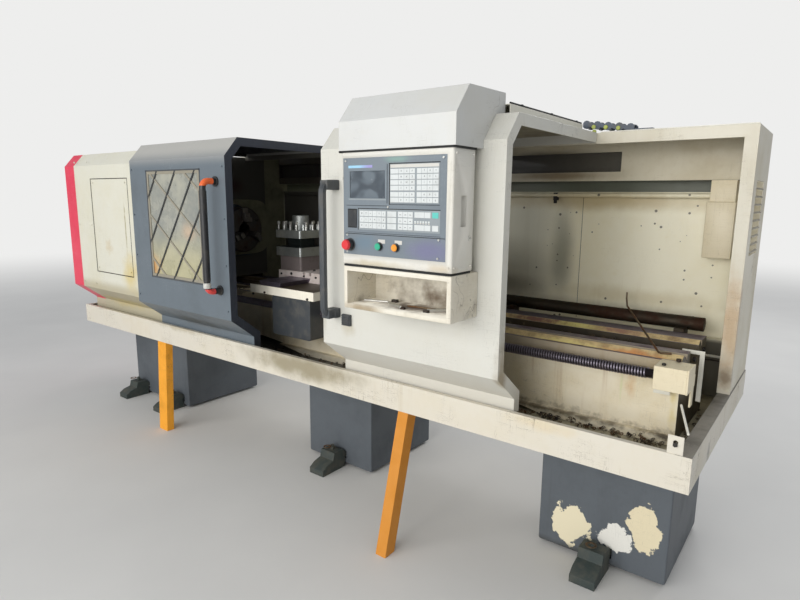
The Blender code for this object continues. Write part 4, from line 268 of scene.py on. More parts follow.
def painted(name, coat_colour, dirt, age, bare=None, gloss=0.42, spots=(), fades=(), specks=0.0,
            run_colour=None, mist_scale=3.0):
    """Make a sprayed paint with its age on it, and the age is its mist, runs, scratches and wear.

    A spot is (centre, reach, colour, strength, ragged, fineness), a fade (axis, start, end, colour, strength).
    Each lays an overlay colour: a stain, painted shade, painted light or a painted reflection, as the paint gives.
    """
    mist, runs, scratches, wear = age
    tree, inputs, place = start_material(name, coat=0.05)
    cloud = mask(tree, blotches, place, Scale=mist_scale, Low=0.4, High=0.75)
    colour = mixed(tree, times(tree, cloud, mist), coat_colour, dirt)
    fine = mask(tree, blotches, place, Scale=38.0, Low=0.5, High=0.8)
    colour = mixed(tree, times(tree, fine, mist * 0.5), colour, dirt)
    colour = mixed(tree, times(tree, mask(tree, drips, place), runs), colour, run_colour or dirt)
    axes = put(tree, "SeparateXYZ", {0: place}).outputs if fades else None
    for axis, start, end, overlay, strength in fades:
        share = times(tree, ramped(tree, axes["xyz".index(axis)], start, end), strength)
        colour = mixed(tree, share, colour, overlay)
    for centre, reach, overlay, strength, ragged, fineness in spots:
        share = mask(tree, spotted, place, Centre=centre, Reach=reach, Ragged=ragged, Fineness=fineness,
                     Softness=0.06 if strength >= 1 else 0.9)
        colour = mixed(tree, times(tree, share, min(strength, 1.0)), colour, overlay)
    if specks > 0:
        colour = mixed(tree, times(tree, mask(tree, specked, place), specks), colour, SOOT)
    hair = mask(tree, scratched, place, Amount=scratches)
    colour = mixed(tree, hair, colour, bare or dirt)
    colour = mixed(tree, mask(tree, worn, place, Amount=wear), colour, bare or dirt)
    tree.links.new(colour, inputs["Base Color"])
    tree.links.new(maths(tree, "ADD", gloss, times(tree, cloud, 0.25), clamp=True), inputs["Roughness"])
    height = maths(tree, "SUBTRACT", noise(tree, place, 260.0, 2.0), times(tree, hair, 2.0))
    bumped(tree, inputs, height, 0.25, 0.0006)


# SHADE_BLACK is the near-black of painted shade that the fades lay over the paint inside the guard.
SHADE_BLACK = (66, 64, 60)
STEEL_EDGE = (105, 100, 92)

# %% [markdown]
# ## The cream paint and its stains
# Most of the guard is one warm white. Each panel gets its own tree, because each one has aged in its own way: the
# pan is hit by hooks and chips, the back wall is sprayed with oil, and the cover is yellow where hands reach in.
# Several also carry painted shade: they darken towards the machine's left end and inside the guard.

# %% Cream paints
painted("cream_paint", (224, 221, 208), (198, 192, 172), (0.3, 0.12, 0.3, 0.4), STEEL_EDGE)
painted("right_door_paint", (207, 206, 198), (196, 190, 172), (0.28, 0.1, 0.3, 0.45), STEEL_EDGE,
        fades=[("z", 0.8, 0.7, (196, 190, 176), 0.5)], spots=[
    ((1.297, -0.5, 0.8), (0.03, 0.05, 0.2), (140, 124, 96), 0.8, 0.3, 12.0),
    ((0.63, -0.53, 0.89), (0.05, 0.05, 0.05), (186, 178, 156), 0.6, 0.4, 16.0),
    ((0.5, -0.53, 0.99), (0.02, 0.05, 0.24), (176, 172, 158), 0.6, 0.3, 10.0)])
# The guards' inside: grime, and painted shade in the darker base and in the fade to near-black towards the left.
painted("grimy_inner_paint", (150, 142, 120), (86, 76, 56), (0.6, 0.3, 0.2, 0.4), SOOT,
        fades=[("x", 0.95, 0.3, SHADE_BLACK, 0.85)])
# The fade to near-black towards the left is painted shade inside the guard.
painted("fixed_guard_paint", (213, 207, 189), (186, 172, 138), (0.4, 0.2, 0.5, 0.8), (112, 92, 70),
        fades=[("x", 0.7, 0.2, SHADE_BLACK, 0.9)], spots=[
    ((1.85, 0.27, 0.95), (0.06, 0.06, 0.3), (186, 152, 108), 0.7, 0.35, 11.0),
    ((1.85, 0.27, 0.74), (0.05, 0.05, 0.06), (112, 92, 66), 0.7, 0.35, 18.0)])
painted("pan_paint", (213, 207, 193), (206, 194, 166), (0.35, 0.3, 0.8, 0.8), (112, 98, 78),
        run_colour=(176, 158, 122), mist_scale=3.6, spots=[
    ((1.4, -0.425, 0.66), (0.2, 0.03, 0.035), (210, 186, 132), 0.35, 0.3, 10.0),
    ((0.22, -0.425, 0.64), (0.55, 0.03, 0.09), (146, 136, 110), 0.9, 0.3, 9.0),
    ((-0.75, -0.425, 0.675), (0.35, 0.03, 0.03), (168, 156, 126), 0.6, 0.4, 16.0),
    ((1.6, -0.14, 0.57), (0.5, 0.05, 0.1), (66, 58, 44), 0.8, 0.35, 20.0)])
# The channel darkens to near-black towards the left: painted shade.
painted("pan_channel_paint", (186, 178, 152), (90, 80, 58), (0.7, 0.1, 0.7, 0.8), SOOT, mist_scale=7.0,
        fades=[("x", 1.1, 0.75, SHADE_BLACK, 0.9)])
painted("pan_end_ledge_paint", (120, 116, 108), (78, 72, 62), (0.7, 0.2, 0.7, 0.8), (150, 140, 120),
        mist_scale=7.0)
# Bed walls: the z fade darkens their top as painted shadow under the screw and the ways, and the two large dark
# spots at x 0.74 and -0.35 are painted shade over the left part, with grime. The paler spot at x -0.42 keeps a lit
# cream band there.
painted("oily_cream_paint", (238, 228, 204), (214, 196, 150), (0.5, 0.4, 0.25, 0.6), (70, 62, 50),
        run_colour=(164, 122, 56), mist_scale=5.0, fades=[("z", 0.785, 0.835, (112, 90, 62), 0.6)], spots=[
    ((0.74, -0.105, 0.74), (0.42, 0.05, 0.3), (66, 52, 38), 0.95, 0.12, 5.0),
    ((-0.35, -0.105, 0.66), (0.8, 0.05, 0.17), (52, 42, 32), 0.97, 0.12, 7.0),
    ((-0.42, -0.1, 0.825), (0.26, 0.05, 0.045), (224, 210, 178), 1.0, 0.25, 14.0),
    ((1.6, -0.105, 0.735), (0.03, 0.05, 0.095), (200, 140, 48), 0.9, 0.25, 14.0),
    ((1.566, -0.105, 0.74), (0.008, 0.05, 0.12), (206, 214, 150), 0.9, 0.1, 14.0),
    ((1.745, -0.105, 0.7), (0.022, 0.05, 0.12), (214, 190, 84), 0.85, 0.3, 20.0),
    ((1.3, -0.105, 0.6), (0.55, 0.05, 0.028), (84, 72, 46), 0.85, 0.45, 26.0),
    ((1.72, -0.105, 0.6), (0.08, 0.05, 0.03), (60, 50, 36), 0.9, 0.45, 26.0)])
painted("chipped_cream_paint", (246, 240, 224), (200, 188, 158), (0.2, 0.1, 0.4, 1.2), (92, 84, 64),
        mist_scale=9.0)
# The x fade darkens the wall to near-black towards the left: painted shade inside the guard. It is also much darker
# below z 0.8.
painted("back_wall_paint", (248, 242, 216), (236, 224, 182), (0.45, 0.25, 0.1, 0.3), SOOT,
        run_colour=(180, 158, 106), specks=0.85, fades=[("x", 0.55, 0.15, SHADE_BLACK, 0.96),
                                                        ("z", 0.83, 0.8, (46, 42, 34), 0.9)], spots=[
    ((0.8, 0.59, 1.22), (0.36, 0.2, 0.5), (190, 190, 174), 0.7, 0.08, 4.0),
    ((1.05, 0.59, 1.14), (0.09, 0.2, 0.3), (132, 132, 112), 0.7, 0.12, 6.0),
    ((1.2, 0.59, 1.4), (0.7, 0.2, 0.07), (176, 152, 96), 0.7, 0.2, 7.0),
    ((0.72, 0.59, 0.96), (0.36, 0.2, 0.09), (124, 116, 98), 0.7, 0.15, 6.0),
    ((1.4, 0.59, 0.96), (0.5, 0.2, 0.06), (206, 190, 148), 0.5, 0.3, 8.0)])
painted("junction_box_paint", (226, 214, 184), (206, 186, 140), (0.5, 0.2, 0.3, 0.5), (150, 128, 90))
# The beam and its recess darken towards the left: painted shade inside the guard.
painted("beam_paint", (212, 204, 180), (176, 158, 118), (0.5, 0.1, 0.2, 0.5), SOOT,
        fades=[("x", 0.95, 0.45, (44, 38, 31), 0.95)], spots=[
    ((0.98, 0.55, 1.6), (0.36, 0.12, 0.05), (70, 62, 50), 0.9, 0.1, 6.0),
    ((1.02, 0.55, 1.515), (0.36, 0.12, 0.035), (120, 98, 64), 0.8, 0.15, 7.0)])
painted("beam_recess_paint", (84, 80, 70), (52, 46, 38), (0.6, 0.1, 0.3, 0.3), SOOT,
        fades=[("x", 1.2, 0.8, (40, 36, 32), 0.9)])
painted("beam_underside_paint", (86, 90, 74), (60, 56, 44), (0.5, 0.1, 0.3, 0.3), SOOT)
# The hood is the console's cream painted darker, a painted shade that evens out the extra light on its slanted
# front.
painted("hood_shaded_paint", (201, 202, 200), (194, 188, 170), (0.25, 0.15, 0.35, 0.5), (120, 112, 98))
painted("console_paint", (212, 210, 203), (204, 196, 172), (0.28, 0.1, 0.25, 0.45), (110, 102, 88), spots=[
    ((0.9, -0.69, 1.185), (0.18, 0.05, 0.022), (176, 158, 112), 0.5, 0.3, 14.0),
    ((1.17, -0.69, 1.19), (0.08, 0.05, 0.025), (176, 150, 100), 0.5, 0.3, 14.0)])
painted("tray_paint", (224, 219, 205), (160, 138, 94), (0.35, 0.2, 0.6, 0.9), (84, 70, 52), spots=[
    ((0.99, -0.6, 1.03), (0.26, 0.085, 0.05), (66, 48, 30), 0.95, 0.35, 14.0),
    ((1.02, -0.54, 1.075), (0.22, 0.03, 0.075), (84, 62, 38), 0.9, 0.4, 14.0),
    ((0.84, -0.69, 1.028), (0.1, 0.03, 0.02), (128, 104, 64), 0.7, 0.3, 20.0)])
# The x fade is painted shade that makes the bulkhead past x -1.002 near-black, and the z fade is painted shade on
# the undercut skirt. The maroon spot high on the bulkhead is a dark box, painted as it looks in shade.
painted("cover_paint", (213, 211, 197), (204, 196, 164), (0.4, 0.15, 0.3, 0.4), (120, 110, 92),
        fades=[("x", -1.012, -1.002, SHADE_BLACK, 0.97), ("z", 0.9, 0.84, (170, 160, 130), 0.75)], spots=[
    ((-1.09, -0.5, 0.95), (0.13, 0.06, 0.16), (206, 184, 108), 0.75, 0.3, 11.0),
    ((-1.4, -0.4, 0.74), (0.45, 0.08, 0.05), (190, 172, 116), 0.7, 0.3, 9.0),
    ((-1.115, -0.5, 1.22), (0.01, 0.06, 0.2), (150, 138, 88), 0.8, 0.4, 26.0),
    ((-1.33, -0.5, 1.1), (0.06, 0.06, 0.06), (196, 178, 140), 0.5, 0.5, 30.0),
    ((-1.0, 0.16, 1.47), (0.02, 0.13, 0.08), (58, 26, 30), 0.9, 0.2, 9.0)])

# %% [markdown]
# ## The other paints
# The left door, the pedestals and the motors are blue-grey. The right pedestal has lost its paint in three ragged
# patches down to the filler, and a spot with a torn edge at each place makes them. A fourth, dark spot along the
# right pedestal's foot is painted shade where it meets the floor.

# %% Slate, red, yellow and olive paints
# The dark band along the door's bottom is painted shade on its lower skirt. The fade turns the door pale grey
# towards its top. The inside paint is dark as painted shade.
painted("slate_door_paint", (98, 108, 116), (86, 92, 96), (0.4, 0.1, 0.25, 0.4), (160, 162, 160),
        fades=[("z", 1.54, 1.64, (178, 176, 170), 0.9)], spots=[
    ((-0.55, -0.4, 0.74), (0.5, 0.1, 0.05), (70, 68, 60), 0.7, 0.3, 10.0)])
painted("slate_inner_paint", (40, 46, 58), (26, 28, 32), (0.4, 0.1, 0.2, 0.5), (120, 124, 126))
# Three torn patches down to the filler, and a dark band at the foot that is painted shade.
PEELS_AND_FOOT_SHADE = [
    ((1.422, -0.075, 0.125), (0.074, 0.05, 0.088), (226, 216, 186), 1.0, 0.42, 17.0),
    ((1.586, -0.075, 0.13), (0.066, 0.05, 0.06), (226, 224, 216), 1.0, 0.4, 19.0),
    ((1.69, -0.075, 0.205), (0.056, 0.05, 0.095), (222, 210, 178), 1.0, 0.42, 18.0),
    ((1.42, -0.075, 0.012), (0.3, 0.09, 0.035), (58, 58, 56), 0.8, 0.3, 10.0),
]
painted("pedestal_paint", (86, 92, 98), (68, 72, 76), (0.5, 0.3, 0.2, 0.5), (60, 60, 58), gloss=0.55,
        run_colour=(66, 70, 74), spots=PEELS_AND_FOOT_SHADE)
painted("red_cover_paint", (222, 48, 80), (170, 40, 60), (0.2, 0.1, 0.2, 0.4), (236, 200, 200), gloss=0.35)
painted("prop_paint", (244, 166, 40), (176, 116, 34), (0.35, 0.2, 0.6, 0.9), (120, 84, 50), gloss=0.6,
        mist_scale=9.0, fades=[("x", 0.0, 0.25, (196, 126, 42), 0.8)])
painted("motor_paint", (62, 74, 84), (40, 44, 46), (0.4, 0.2, 0.2, 0.5), (120, 120, 116), gloss=0.5)
painted("mount_paint", (50, 60, 58), (104, 98, 86), (0.6, 0.1, 0.2, 0.6), (110, 84, 60), gloss=0.7,
        mist_scale=12.0)
# The three spots on the panel plate are painted reflections: green at the top, violet and blue lower down.
painted("panel_paint", (112, 122, 130), (92, 100, 106), (0.25, 0.0, 0.15, 0.3), (180, 184, 184), gloss=0.4,
        spots=[
    ((1.0, -0.688, 1.528), (0.07, 0.05, 0.016), (124, 158, 148), 0.7, 0.2, 20.0),
    ((1.12, -0.688, 1.242), (0.12, 0.05, 0.055), (108, 106, 142), 0.75, 0.2, 12.0),
    ((0.86, -0.688, 1.255), (0.07, 0.05, 0.045), (98, 120, 136), 0.7, 0.2, 12.0)])
painted("nose_plate_paint", (132, 130, 104), (74, 70, 54), (0.6, 0.2, 0.3, 0.6), SOOT, mist_scale=8.0)
# The fade darkens the ways towards the left as painted shade, and the paler spot at x -0.42 keeps them lit there.
painted("stained_way", (214, 190, 138), (132, 108, 78), (0.9, 0.0, 0.8, 1.0), (108, 78, 50), gloss=0.3,
        mist_scale=14.0, fades=[("x", 1.05, 0.6, (58, 46, 34), 0.9)], spots=[
    ((1.25, 0.225, 0.87), (0.3, 0.03, 0.03), (222, 214, 130), 0.8, 0.5, 40.0),
    ((1.6, -0.07, 0.86), (0.14, 0.03, 0.03), (206, 120, 50), 0.7, 0.4, 26.0),
    ((1.1, 0.225, 0.87), (0.2, 0.03, 0.03), (128, 88, 84), 0.95, 0.5, 40.0),
    ((1.45, 0.225, 0.87), (0.16, 0.03, 0.03), (150, 110, 96), 0.9, 0.5, 40.0),
    ((1.35, -0.07, 0.86), (0.16, 0.03, 0.03), (232, 214, 140), 0.8, 0.5, 34.0),
    ((-0.42, -0.09, 0.865), (0.26, 0.05, 0.03), (226, 212, 182), 1.0, 0.25, 14.0)])
painted("trough_paint", (78, 68, 50), (40, 36, 30), (0.8, 0.5, 0.3, 0.6), SOOT)
painted("screen_label", (150, 198, 224), (130, 150, 190), (0.2, 0.0, 0.1, 0.1), gloss=0.3,
        fades=[("x", 0.83, 0.885, (150, 138, 196), 0.9)])

# %% [markdown]
# ## Steel
# Steel on a lathe is ground, turned or scraped, and the tool's path shows as fine parallel or round lines. The
# lines bend the light more than the colour, so they go into the bump and the roughness. Old coolant leaves brown
# tints. Brushed lines could come from an anisotropic shader, but bump carries over to other programs.

# %% Build a steel
CHUCK_AXIS = (0.0, 0.14, 1.195)


def steel(name, colour, lines, spacing=900.0, rough=0.3, tint=(120, 84, 48), tinted=0.3):
    """Make machined steel. Lines is x, y or z for straight grinding marks, or rings about the chuck's axis."""
    tree, inputs, place = start_material(name, metallic=0.9)
    middle = put(tree, "Mapping", {"Vector": place, "Location": tuple(-c for c in CHUCK_AXIS)}).outputs[0]
    parts = put(tree, "SeparateXYZ", {0: middle}).outputs
    if lines == "rings":
        run = vector_maths(tree, "LENGTH", put(tree, "CombineXYZ", {"Y": parts[1], "Z": parts[2]}).outputs[0])
    else:
        run = parts["xyz".index(lines)]
    wave = maths(tree, "SINE", times(tree, run, spacing * 6.28))
    height = maths(tree, "ADD", times(tree, wave, 0.5), noise(tree, place, 90.0, 5.0))
    overlay = mask(tree, blotches, place, Scale=9.0, Low=0.45, High=0.7)
    fine = mask(tree, blotches, place, Scale=55.0, Low=0.5, High=0.75)
    dark = tuple(c * 0.55 for c in rgb(*colour)[:3]) + (1.0,)
    shade = mixed(tree, times(tree, fine, 0.35), colour, dark)
    shade = mixed(tree, times(tree, overlay, tinted), shade, tint)
    shade = mixed(tree, times(tree, mask(tree, worn, place, Amount=0.9), 0.6), shade, (214, 212, 208))
    tree.links.new(shade, inputs["Base Color"])
    tree.links.new(maths(tree, "ADD", rough, times(tree, overlay, 0.3)), inputs["Roughness"])
    bumped(tree, inputs, height, 0.2, 0.0005)


steel("turned_steel", (150, 148, 146), "rings", spacing=500.0, rough=0.32)
steel("thread_steel", (132, 126, 136), "x", spacing=900.0, rough=0.45, tint=(110, 96, 90), tinted=0.4)
steel("dull_turned_steel", (92, 90, 90), "rings", spacing=350.0, rough=0.42, tinted=0.35)
steel("way_steel", (138, 130, 146), "y", spacing=420.0, rough=0.34, tint=(112, 92, 92), tinted=0.6)
steel("screw_steel", (70, 64, 66), "x", spacing=900.0, rough=0.32, tint=(70, 56, 48), tinted=0.5)
steel("jaw_steel", (140, 138, 136), "x", spacing=600.0, rough=0.3, tinted=0.2)
steel("post_steel", (172, 176, 174), "z", spacing=500.0, rough=0.42, tint=(150, 140, 116), tinted=0.35)
steel("slot_steel", (52, 60, 60), "z", spacing=500.0, rough=0.5, tint=(40, 36, 32), tinted=0.5)
steel("bright_steel", (206, 206, 202), "z", spacing=900.0, rough=0.28, tinted=0.15)
steel("bolt_steel", (64, 62, 60), "z", spacing=900.0, rough=0.45, tint=(96, 62, 36), tinted=0.4)
steel("hook_steel", (120, 104, 84), "x", spacing=300.0, rough=0.5, tint=(120, 70, 34), tinted=0.7)
steel("tube_steel", (66, 60, 50), "y", spacing=120.0, rough=0.55, tint=(84, 48, 34), tinted=0.6)

# %% [markdown]
# ## Plastic and rubber
# Handles, cable chain, keys and caps are moulded. The mould leaves a fine even grain, hands polish the high
# places, and dust settles on the rest.

# %% Build a moulded plastic
def moulded(name, colour, dust=(150, 140, 120), dusty=0.2, rough=0.42, grain=320.0, coat=0.0):
    """Make a moulded plastic with a fine grain and dust."""
    tree, inputs, place = start_material(name, coat=coat)
    cloud = mask(tree, blotches, place, Scale=16.0, Low=0.45, High=0.75)
    shade = mixed(tree, times(tree, cloud, dusty), colour, dust)
    shade = mixed(tree, times(tree, mask(tree, worn, place, Amount=0.5), 0.4), shade, dust)
    tree.links.new(shade, inputs["Base Color"])
    tree.links.new(maths(tree, "ADD", rough, times(tree, cloud, 0.25)), inputs["Roughness"])
    bumped(tree, inputs, noise(tree, place, grain, 2.0), 0.2, 0.0004)


moulded("black_plastic", (34, 35, 38), dusty=0.12)
moulded("charcoal_plastic", (64, 68, 72), dusty=0.2)
moulded("chain_plastic", (58, 70, 86), dusty=0.3)
moulded("pin_plastic", (176, 186, 88), dusty=0.25)
moulded("orange_plastic", (238, 104, 44), dusty=0.05, coat=0.2)
moulded("amber_plastic", (236, 150, 40), dusty=0.05, coat=0.3)
moulded("red_plastic", (210, 36, 44), dusty=0.05, coat=0.3)
moulded("coral_plastic", (226, 74, 70), dusty=0.1, coat=0.2)
moulded("green_plastic", (44, 168, 132), dusty=0.05, coat=0.3)
moulded("key_plastic", (204, 208, 208), dust=(150, 152, 148), dusty=0.25, rough=0.5)
moulded("teal_key_plastic", (88, 186, 176), dusty=0.1)
moulded("white_plastic", (200, 198, 192), dusty=0.2)
moulded("belt_rubber", (28, 28, 29), dusty=0.3, rough=0.75, grain=180.0)
moulded("key_bed_plastic", (138, 146, 150), dusty=0.2)
# Black rubber for seams and gaskets, also used as the black of painted shadow strips.
moulded("seam_rubber", (20, 21, 22), dusty=0.08, rough=0.7)
moulded("post_housing", (118, 108, 106), dust=(96, 88, 76), dusty=0.4, rough=0.55)
moulded("slide_enamel", (224, 212, 206), dust=(150, 128, 104), dusty=0.35, rough=0.5)
moulded("sign_yellow", (240, 190, 40), dusty=0.1, rough=0.45)
moulded("swarf_dark", (70, 60, 46), dust=(130, 118, 88), dusty=0.6, rough=0.5)
print("finishes:", len(finishes))

# %% [markdown]
# ## Panes and screens
# The door's window is a clear plastic sheet that coolant has yellowed and fogged. The screen is dark glass over
# an unlit display, and the large pale blotches in its colour are painted reflections. Both need a see-through or
# glossy shader, and their smears are only a change of roughness.

# %% Pane and screen
def pane_material():
    """Make the yellowed, fogged window sheet."""
    tree, inputs, place = start_material("yellowed_pane", coat=0.3)
    fog = mask(tree, blotches, place, Scale=5.0, Low=0.3, High=0.75)
    height = put(tree, "SeparateXYZ", {0: place}).outputs[2]
    shade = mixed(tree, fog, (146, 150, 146), (176, 174, 158))
    shade = mixed(tree, ramped(tree, height, 1.28, 1.02, 0.0, 0.6), shade, (196, 188, 138))
    for centre, reach, overlay in (((-0.8, -0.52, 1.03), (0.1, 0.05, 0.09), (206, 140, 62)),
                                 ((-0.45, -0.52, 1.23), (0.09, 0.05, 0.07), (204, 178, 150))):
        share = mask(tree, spotted, place, Centre=centre, Reach=reach, Ragged=0.25, Fineness=10.0, Softness=0.9)
        shade = mixed(tree, times(tree, share, 0.8), shade, overlay)
    tree.links.new(shade, inputs["Base Color"])
    tree.links.new(ramped(tree, fog, 0.0, 1.0, 0.72, 0.9), inputs["Alpha"])
    tree.links.new(ramped(tree, fog, 0.0, 1.0, 0.15, 0.4), inputs["Roughness"])


def screen_material():
    """Make the dark display glass, with painted reflections as pale blotches in its colour."""
    tree, inputs, place = start_material("screen_glass", coat=0.6)
    smear = mask(tree, blotches, place, Scale=22.0, Low=0.4, High=0.8)
    painted_reflection = ramped(tree, noise(tree, place, 13.0, 1.0, Distortion=0.8), 0.42, 0.6)
    shade = mixed(tree, painted_reflection, (66, 74, 82), (100, 110, 118))
    tree.links.new(mixed(tree, times(tree, smear, 0.15), shade, (96, 104, 110)), inputs["Base Color"])
    tree.links.new(ramped(tree, smear, 0.0, 1.0, 0.12, 0.35), inputs["Roughness"])


def lattice_material():
    """Make the bars: dark along one slant, pale and dusty along the other."""
    tree, inputs, place = start_material("lattice_metal", metallic=0.2)
    TO_MIDDLE, SLANT, HALF_PITCH = (0.5675, 0.0, -1.2525), radians(54), 0.0685
    centred = put(tree, "Mapping", {"Vector": place, "Location": TO_MIDDLE}).outputs[0]
    slant = vector_maths(tree, "DOT_PRODUCT", centred, (-sin(SLANT), 0.0, cos(SLANT)))
    pale = ramped(tree, maths(tree, "PINGPONG", slant, HALF_PITCH), 0.0052, 0.0062)
    grime = mask(tree, blotches, place, Scale=20.0)
    dark = mixed(tree, grime, (44, 46, 48), (70, 68, 60))
    tree.links.new(mixed(tree, pale, dark, (150, 144, 128)), inputs["Base Color"])
    tree.links.new(ramped(tree, grime, 0.0, 1.0, 0.4, 0.7), inputs["Roughness"])


lattice_material()
pane_material()
screen_material()

# %% [markdown]
# ## Dressing a solid
# A solid from the CAD has knife-sharp edges, and a real edge is folded, cast or filed, so it catches a line of
# light. Each solid is copied, merged, cleaned of its extra triangles and bevelled by its maker's radius. The new
# bevel faces also get an attribute that tells the paint where an edge is, so that wear follows the edges only.

# %% Dress a CAD node
dressed = []


def to_mesh(form, name):
    """Turn a form into a mesh."""
    mesh = bpy.data.meshes.new(name)
    form.to_mesh(mesh)
    form.free()
    return mesh


def link(name, data):
    """Make an object and put it in the scene."""
    made = bpy.data.objects.new(name, data)
    bpy.context.scene.collection.objects.link(made)
    return made


def mark_edges(mesh, faces):
    """Store 1 on the corners of the bevel faces and 0 on all others."""
    layer = mesh.attributes.new("edge", "FLOAT", "CORNER")
    values = [0.0] * len(mesh.loops)
    for index in faces:
        for loop in mesh.polygons[index].loop_indices:
            values[loop] = 1.0
    layer.data.foreach_set("value", values)


def sharp_edges(form, least):
    """Give the edges between two faces that meet at more than an angle."""
    return [e for e in form.edges if len(e.link_faces) == 2 and e.calc_face_angle(0.0) > least]


def even_normals(mesh):
    """Let the large faces rule the shading, so that a flat sheet stays flat beside its rounded edge."""
    around = [[] for _ in mesh.vertices]
    flats = []
    for face in mesh.polygons:
        normal = face.normal.copy()
        flats.append((normal, normal * face.area))
        for corner in face.vertices:
            around[corner].append(face.index)
    shading = []
    for face in mesh.polygons:
        normal = flats[face.index][0]
        for corner in face.vertices:
            total = Vector()
            for other in around[corner]:
                if normal.dot(flats[other][0]) > 0.64:
                    total += flats[other][1]
            shading.append(total.normalized() if total.length > 0 else normal)
    mesh.normals_split_custom_set(shading)


def settle(form, name, body, materials, width=0.0, smooth=35.0, segments=2, flip=True):
    """Bevel a form's sharp edges, make it an object, mark its edges and let it ride on a body."""
    if flip:
        bmesh.ops.recalc_face_normals(form, faces=form.faces)
    old = form.faces.layers.int.new("old")
    for face in form.faces:
        face[old] = 1
    if width > 0:
        bmesh.ops.bevel(form, geom=sharp_edges(form, radians(28)), offset=width, affect="EDGES",
                        segments=segments,
                        profile=0.5, material=-1, clamp_overlap=True)
    form.faces.index_update()
    fresh = [face.index for face in form.faces if not face[old]]
    mesh = to_mesh(form, name)
    mesh.attributes.remove(mesh.attributes["old"])
    mark_edges(mesh, fresh)
    for title in materials.split():
        mesh.materials.append(finishes[title])
    mesh.shade_smooth()
    mesh.set_sharp_from_angle(angle=radians(smooth))
    if width > 0:
        even_normals(mesh)
    made = link(name, mesh)
    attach(made, body)
    return made


def dress(node, materials, width=0.0008, choose=None, slices=(), shape=None):
    """Copy a CAD node, clean it, slice and bevel it, paint it and let it stand for the node."""
    form = bmesh.new()
    form.from_mesh(nodes[node].data)
    bmesh.ops.remove_doubles(form, verts=form.verts, dist=0.00002)
    bmesh.ops.dissolve_limit(form, angle_limit=radians(0.5), verts=form.verts, edges=form.edges,
                             delimit={"NORMAL"})
    for place, normal in slices:
        everything = form.verts[:] + form.edges[:] + form.faces[:]
        bmesh.ops.bisect_plane(form, geom=everything, dist=0.00001, plane_co=place, plane_no=normal)
    if shape:
        shape(form)
    if choose:
        for face in form.faces:
            face.material_index = choose(face)
    made = settle(form, node + "_dressed", nodes[node]["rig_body"], materials, width, flip=False)
    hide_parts(node)
    dressed.append(node)


# %% [markdown]
# ## Sheet metal
# Folded sheet gets a radius of about one millimetre. The outside of each guard is sprayed and wiped, and its
# inside is grimy and painted darker as shade, so the faces are sorted by the way they look: outwards, inwards or at
# the open edge.

# %% Dress the sheet metal
def guard_face(face):
    """Tell 1 for the inside of a sheet guard and 0 for its outside."""
    centre, normal = face.calc_center_median(), face.normal
    inside = normal.y > 0.5 and centre.y < 0.2 or normal.z < -0.3 and centre.z > 0.9
    return int(inside)


def left_door_face(face):
    """Tell 1 for the left door's inside and its thick right edge, which get the dark slate of painted shade, else
    0.
    """
    return 1 if face.calc_center_median().x > -0.16 and abs(face.normal.x) > 0.5 else guard_face(face)


def pan_face(face):
    """Tell the pan's finish: 1 inside the channel, 2 on the right end's ledge, else 0."""
    centre, normal = face.calc_center_median(), face.normal
    if centre.x > 1.82 and normal.z > 0.7 and centre.z > 0.6:
        return 2
    return int(normal.z > 0.5 and centre.z < 0.66 or normal.y > 0.5 and centre.y < -0.35)


def fixed_face(face):
    """Tell the fixed guard's finish: 2 on the roof's top and the back, 1 inside, else 0."""
    centre, normal = face.calc_center_median(), face.normal
    if normal.z > 0.3 and centre.z > 1.655 and centre.y > 0.3 or normal.y > 0.5 and centre.y > 0.6:
        return 2
    return guard_face(face)


def wall_face(face):
    """Tell 1 for the outside of the back wall and 0 for its inside, which has oil specks and painted shade."""
    return int(face.normal.y > 0.3 or face.calc_center_median().y > 0.605)


def beam_face(face):
    """Tell the beam's finish: 3 at the back, 1 in the cable recess, 2 low down, else 0."""
    centre = face.calc_center_median()
    if face.normal.y > 0.5 and centre.y > 0.6:
        return 3
    if centre.x < 1.318 and 1.529 < centre.z < 1.618 and centre.y > 0.5505 and centre.y < 0.62:
        return 1
    return 2 if centre.z < 1.489 else 0


SHEETS = {
    "access_panel": ("cover_paint", 0.0008), "headstock_cover": ("cover_paint", 0.001),
    "corner_box": ("junction_box_paint", 0.0),
    "electrical_cabinet": ("cream_paint", 0.001), "cabinet_door": ("cream_paint", 0.001),
    "cable_duct": ("cream_paint", 0.0008), "console_box": ("console_paint", 0.0), "hood": ("hood_shaded_paint", 0.001),
    "tool_tray": ("tray_paint", 0.0), "screw_bearing": ("junction_box_paint", 0.0015),
}
for node, (paint, width) in SHEETS.items():
    dress(node, paint, width)
dress("fixed_guard", "fixed_guard_paint grimy_inner_paint cream_paint", 0.001, choose=fixed_face)
dress("back_wall", "back_wall_paint cream_paint", 0.0008, choose=wall_face)
dress("right_door", "right_door_paint grimy_inner_paint", 0.001, choose=guard_face)
dress("left_door", "slate_door_paint slate_inner_paint", 0.001, choose=left_door_face)
dress("chip_pan", "pan_paint pan_channel_paint pan_end_ledge_paint", 0.001, choose=pan_face,
      slices=[((1.829, 0, 0), (1, 0, 0))])
dress("end_cover", "red_cover_paint cover_paint", 0.001,
      choose=lambda face: int(face.calc_center_median().z < 0.7235),
      slices=[((0, 0, 0.7235), (0, 0, 1))])
dress("back_beam", "beam_paint beam_recess_paint beam_underside_paint cream_paint", 0.0015, choose=beam_face,
      slices=[((0, 0, 1.489), (0, 0, 1))])
print("dressed", len(dressed), "sheets")

# %% [markdown]
# ## Castings
# A casting's edges are ground off by hand, so they get two millimetres. The bed has more finishes: ground ways,
# their front slopes stained yellow by coolant, a dark trough and painted walls, and painted shade over its left
# part and under its ways. The turret's slot is darker than its clamp plates, and the saddle's front was painted
# while its top was not.

